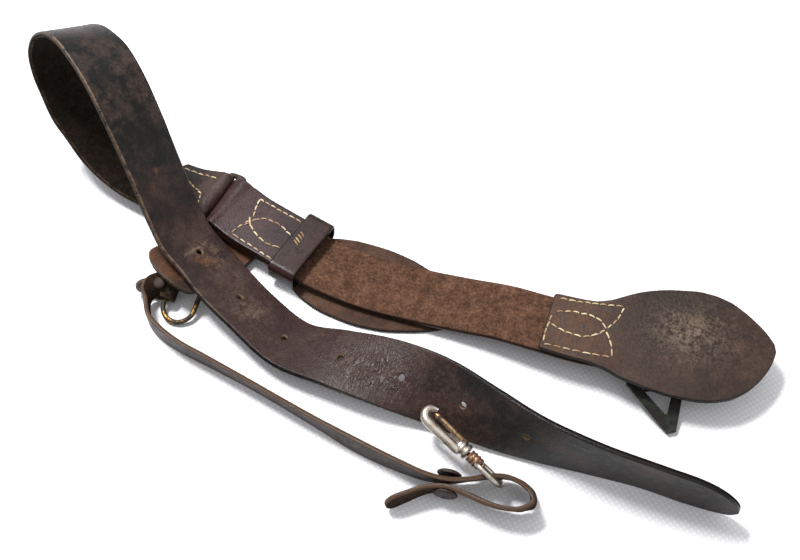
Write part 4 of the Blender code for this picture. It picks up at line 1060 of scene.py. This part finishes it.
stem_profile = [(1.4, -16.2), (2.5, -16.1), (2.7, -15.6), (2.6, -15.0), (1.5, -14.8), (1.5, -3.0)]
stem = turned("hook_stem", stem_profile, COLLAR, HOOK_ALONG, 20)
stem.data.materials.append(rusty)
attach(stem, "hook_body")

GATE_RADIUS = 1.95
GATE_HINGE, GATE_TIP = (3.4, 4.0), 30.4
gate_places = np.linspace(GATE_HINGE[0], GATE_TIP, 22)
gate_bow = np.interp(gate_places, (GATE_HINGE[0], 10, 20, GATE_TIP), (GATE_HINGE[1], 4.3, 4.5, 4.4))
gate_line = on_hook(gate_places, gate_bow)
gate_taper = np.interp(np.linspace(0, 1, 22), (0, 0.06, 0.9, 0.97, 1), (1.0, 1.0, 0.95, 0.8, 0.3))
gate = wire("gate_arm", gate_line, HOOK_FACE, GATE_RADIUS * gate_taper, closed=False)
gate.data.materials.append(gate_brass)
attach(gate, "gate")
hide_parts("gate")

hinge = on_hook(*GATE_HINGE)[0]
knuckle_profile = [(1.2, -1.5), (1.9, -1.5), (2.1, -1.2), (2.1, 1.2), (1.9, 1.5), (1.2, 1.5)]
knuckle = turned("gate_knuckle", knuckle_profile, hinge, HOOK_FACE, 24)
knuckle.data.materials.append(gate_brass)
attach(knuckle, "gate")

pin = turned("gate_pin_turned", [(0.6, -3.9), (1.0, -3.7), (1.0, 3.7), (0.6, 3.9)], hinge, HOOK_FACE, 16)
pin.data.materials.append(rusty)
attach(pin, "hook_body")
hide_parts("gate_pin")

LEAF_RADIUS = 0.35
leaf_places = np.linspace(6.6, 14.6, 12)
leaf_line = on_hook(leaf_places, np.interp(leaf_places, (6.6, 9, 12, 15), (0.7, 0.9, 1.4, 1.9)))
leaf = wire("gate_leaf_spring", leaf_line, HOOK_FACE, LEAF_RADIUS, closed=False, around=10)
leaf.data.materials.append(rusty)
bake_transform(leaf)
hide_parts("gate_spring")

EYE_BASE, EYE_LENGTH, EYE_HALF, EYE_WIRE = 12.5, 19.5, 12.2, 3.6
near_bar, far_bar = on_hook((-EYE_BASE, -EYE_BASE - EYE_LENGTH))
rise = EYE_UP * EYE_HALF
eye_corners = [near_bar + rise, far_bar + rise, far_bar - rise, near_bar - rise]
eye_plane = np.cross(HOOK_ALONG, EYE_UP)
eye = wire("hook_eye_wire", rounded(eye_corners, 5.5), eye_plane, EYE_WIRE / 2)
eye.data.materials.append(nickel)
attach(eye, "hook_eye")
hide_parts("hook_eye")

barrel_profile = [
    (1.9, -14.2), (3.2, -14.3), (3.9, -13.9), (4.1, -13.0), (3.7, -12.2), (3.8, -11.2), (4.4, -10.6),
    (4.3, -9.8), (3.7, -9.2), (3.8, -8.4), (4.4, -7.8), (4.3, -7.0), (3.7, -6.4), (3.9, -5.6), (4.3, -5.0),
    (3.9, -4.4), (1.9, -4.3),
]
barrel = turned("hook_eye_barrel", barrel_profile, COLLAR, HOOK_ALONG)
barrel.data.materials.append(rusty)
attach(barrel, "hook_eye")


# --- Studs ----------------------------------------------------------------------------------
# Domed studs through both layers of each fold, riveted over a washer, and dark with grease. The
# one at the hook has a leather roundel under its head and another under its washer.

stud_metal = old_metal("greasy stud metal", "#6b5544", "#4a382c", "#2c1f18", 0.75, 0.45, spots=4.0)
for stud in ("hook_stud", "hook_stud_washer", "ring_stud", "ring_stud_washer"):
    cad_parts[stud].data.materials.clear()
    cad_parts[stud].data.materials.append(stud_metal)

washer = np.mean(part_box("hook_stud_washer"), axis=0) / MM - MIDDLE
stud_axis = np.mean(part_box("hook_stud"), axis=0) / MM - MIDDLE - washer
stud_axis /= np.linalg.norm(stud_axis)
roundel_profile = [(7.6, 0.0), (8.2, 0.6), (8.0, 1.4), (6.6, 2.3), (4.2, 3.0), (1.2, 3.4)]
for name, height, way in (("far_roundel", 12.4, 1), ("near_roundel", 0.7, -1)):
    roundel = turned(name, roundel_profile, washer + height * stud_axis, way * stud_axis)
    roundel.data.materials.append(raw_edged_leather)
    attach(roundel, "straps")


# --- Joint ring -----------------------------------------------------------------------------
# The rectangular steel ring inside both folds: 4.4 mm wire, rusted, seen only at its ends.

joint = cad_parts["joint_ring"]
joint.data.materials.clear()
joint.data.materials.append(old_metal("dark ring steel", "#4a3c32", "#2f241d", "#2a1c14", 0.8, 0.5))


# --- Cloth, light and camera ----------------------------------------------------------------
# A nearly white table cloth with a fine weave, drawn coarse enough to show, its colour darkened between the
# threads as painted shade. It is lit by a soft
#  lamp high on the left, two weak ones and a pale room.

CLOTH_REACH = 3.0
cloth_mesh = bpy.data.meshes.new("table_cloth")
cloth_corners = [(x * CLOTH_REACH, y * CLOTH_REACH, 0) for x, y in ((-1, -1), (1, -1), (1, 1), (-1, 1))]
cloth_mesh.from_pydata(cloth_corners, [], [(0, 1, 2, 3)])
cloth = bpy.data.objects.new("table_cloth", cloth_mesh)
bpy.context.scene.collection.objects.link(cloth)
cloth_white, tree, shader = finish_material("white cloth")
place = add(tree, "ShaderNodeTexCoord").outputs["Object"]
slant = add(tree, "ShaderNodeMapping", {"Vector": place, "Rotation": (0, 0, 0.75)}).outputs[0]
weft = add(tree, "ShaderNodeTexWave", {"Vector": slant, "Scale": 1000 / 10.0}, bands_direction="X")
warp = add(tree, "ShaderNodeTexWave", {"Vector": slant, "Scale": 1000 / 10.0}, bands_direction="Y")
shader.inputs["Roughness"].default_value = 0.9
weave = add(tree, "ShaderNodeMath", {0: weft.outputs[0], 1: warp.outputs[0]}, operation="MULTIPLY")
bump = add(tree, "ShaderNodeBump", {"Height": weave.outputs[0], "Strength": 0.3, "Distance": 0.0004})
tree.links.new(bump.outputs[0], shader.inputs["Normal"])
# painted shade: the cloth's colour goes down to 0.84 where the weave is low, in the gaps between threads
thread = add(tree, "ShaderNodeMapRange", {0: weave.outputs[0], 1: 0.0, 2: 1.0, 3: 0.84, 4: 1.0})
tinted = {0: 1.0, 6: linear("#f6f6f8"), 7: thread.outputs[0]}
tinted = add(tree, "ShaderNodeMix", tinted, data_type="RGBA", blend_type="MULTIPLY")
tree.links.new(tinted.outputs[2], shader.inputs["Base Color"])
cloth.data.materials.append(cloth_white)

room = bpy.data.worlds.new("pale room")
room.use_nodes = True
tree, background = room.node_tree, room.node_tree.nodes["Background"]
background.inputs["Color"].default_value = linear("#f6f6f8")
way = add(tree, "ShaderNodeTexCoord").outputs["Generated"]
height = add(tree, "ShaderNodeSeparateXYZ", {"Vector": way}).outputs["Z"]
glow = add(tree, "ShaderNodeMapRange", {0: height, 1: 0.0, 2: 0.8, 3: 0.3, 4: 0.9})
tree.links.new(glow.outputs[0], background.inputs["Strength"])
bpy.context.scene.world = room


def soft_lamp(name, spot, aim, size, power, tint):
    """A square area lamp at a spot, turned towards what it lights."""
    made = bpy.data.objects.new(name, bpy.data.lights.new(name, "AREA"))
    made.data.size = size
    made.data.energy = power
    made.data.color = linear(tint)[:3]
    towards = np.array(aim, float) - np.array(spot, float)
    towards /= np.linalg.norm(towards)
    made.location = spot
    made.rotation_mode = "XYZ"
    made.rotation_euler = (math.acos(-towards[2]), 0, math.atan2(towards[0], -towards[1]))
    bpy.context.scene.collection.objects.link(made)


soft_lamp("window", (-0.75, 0.28, 1.8), (0.05, 0, 0), 0.45, 74.0, "#ffffff")
soft_lamp("far window", (-0.4, 1.15, 1.7), (0.05, 0, 0), 0.4, 7.0, "#ffffff")
soft_lamp("fill", (0.9, -0.5, 1.3), (0, 0, 0), 1.2, 4.0, "#ffffff")

ELEVATION = math.radians(55)
AZIMUTH = math.radians(19)
DISTANCE = 0.75
aim = MIDDLE * MM
flat = math.cos(ELEVATION)
back = np.array((math.sin(AZIMUTH) * flat, -math.cos(AZIMUTH) * flat, math.sin(ELEVATION)))
camera = bpy.data.objects.new("camera", bpy.data.cameras.new("camera"))
camera.data.lens = 45.0
camera.data.sensor_width = 36.0
camera.data.clip_start = 0.01
camera.location = aim + back * DISTANCE
camera.rotation_mode = "XYZ"
camera.rotation_euler = (math.pi / 2 - ELEVATION, 0, AZIMUTH)
bpy.context.scene.collection.objects.link(camera)
bpy.context.scene.camera = camera
bpy.context.scene.view_settings.view_transform = "Standard"
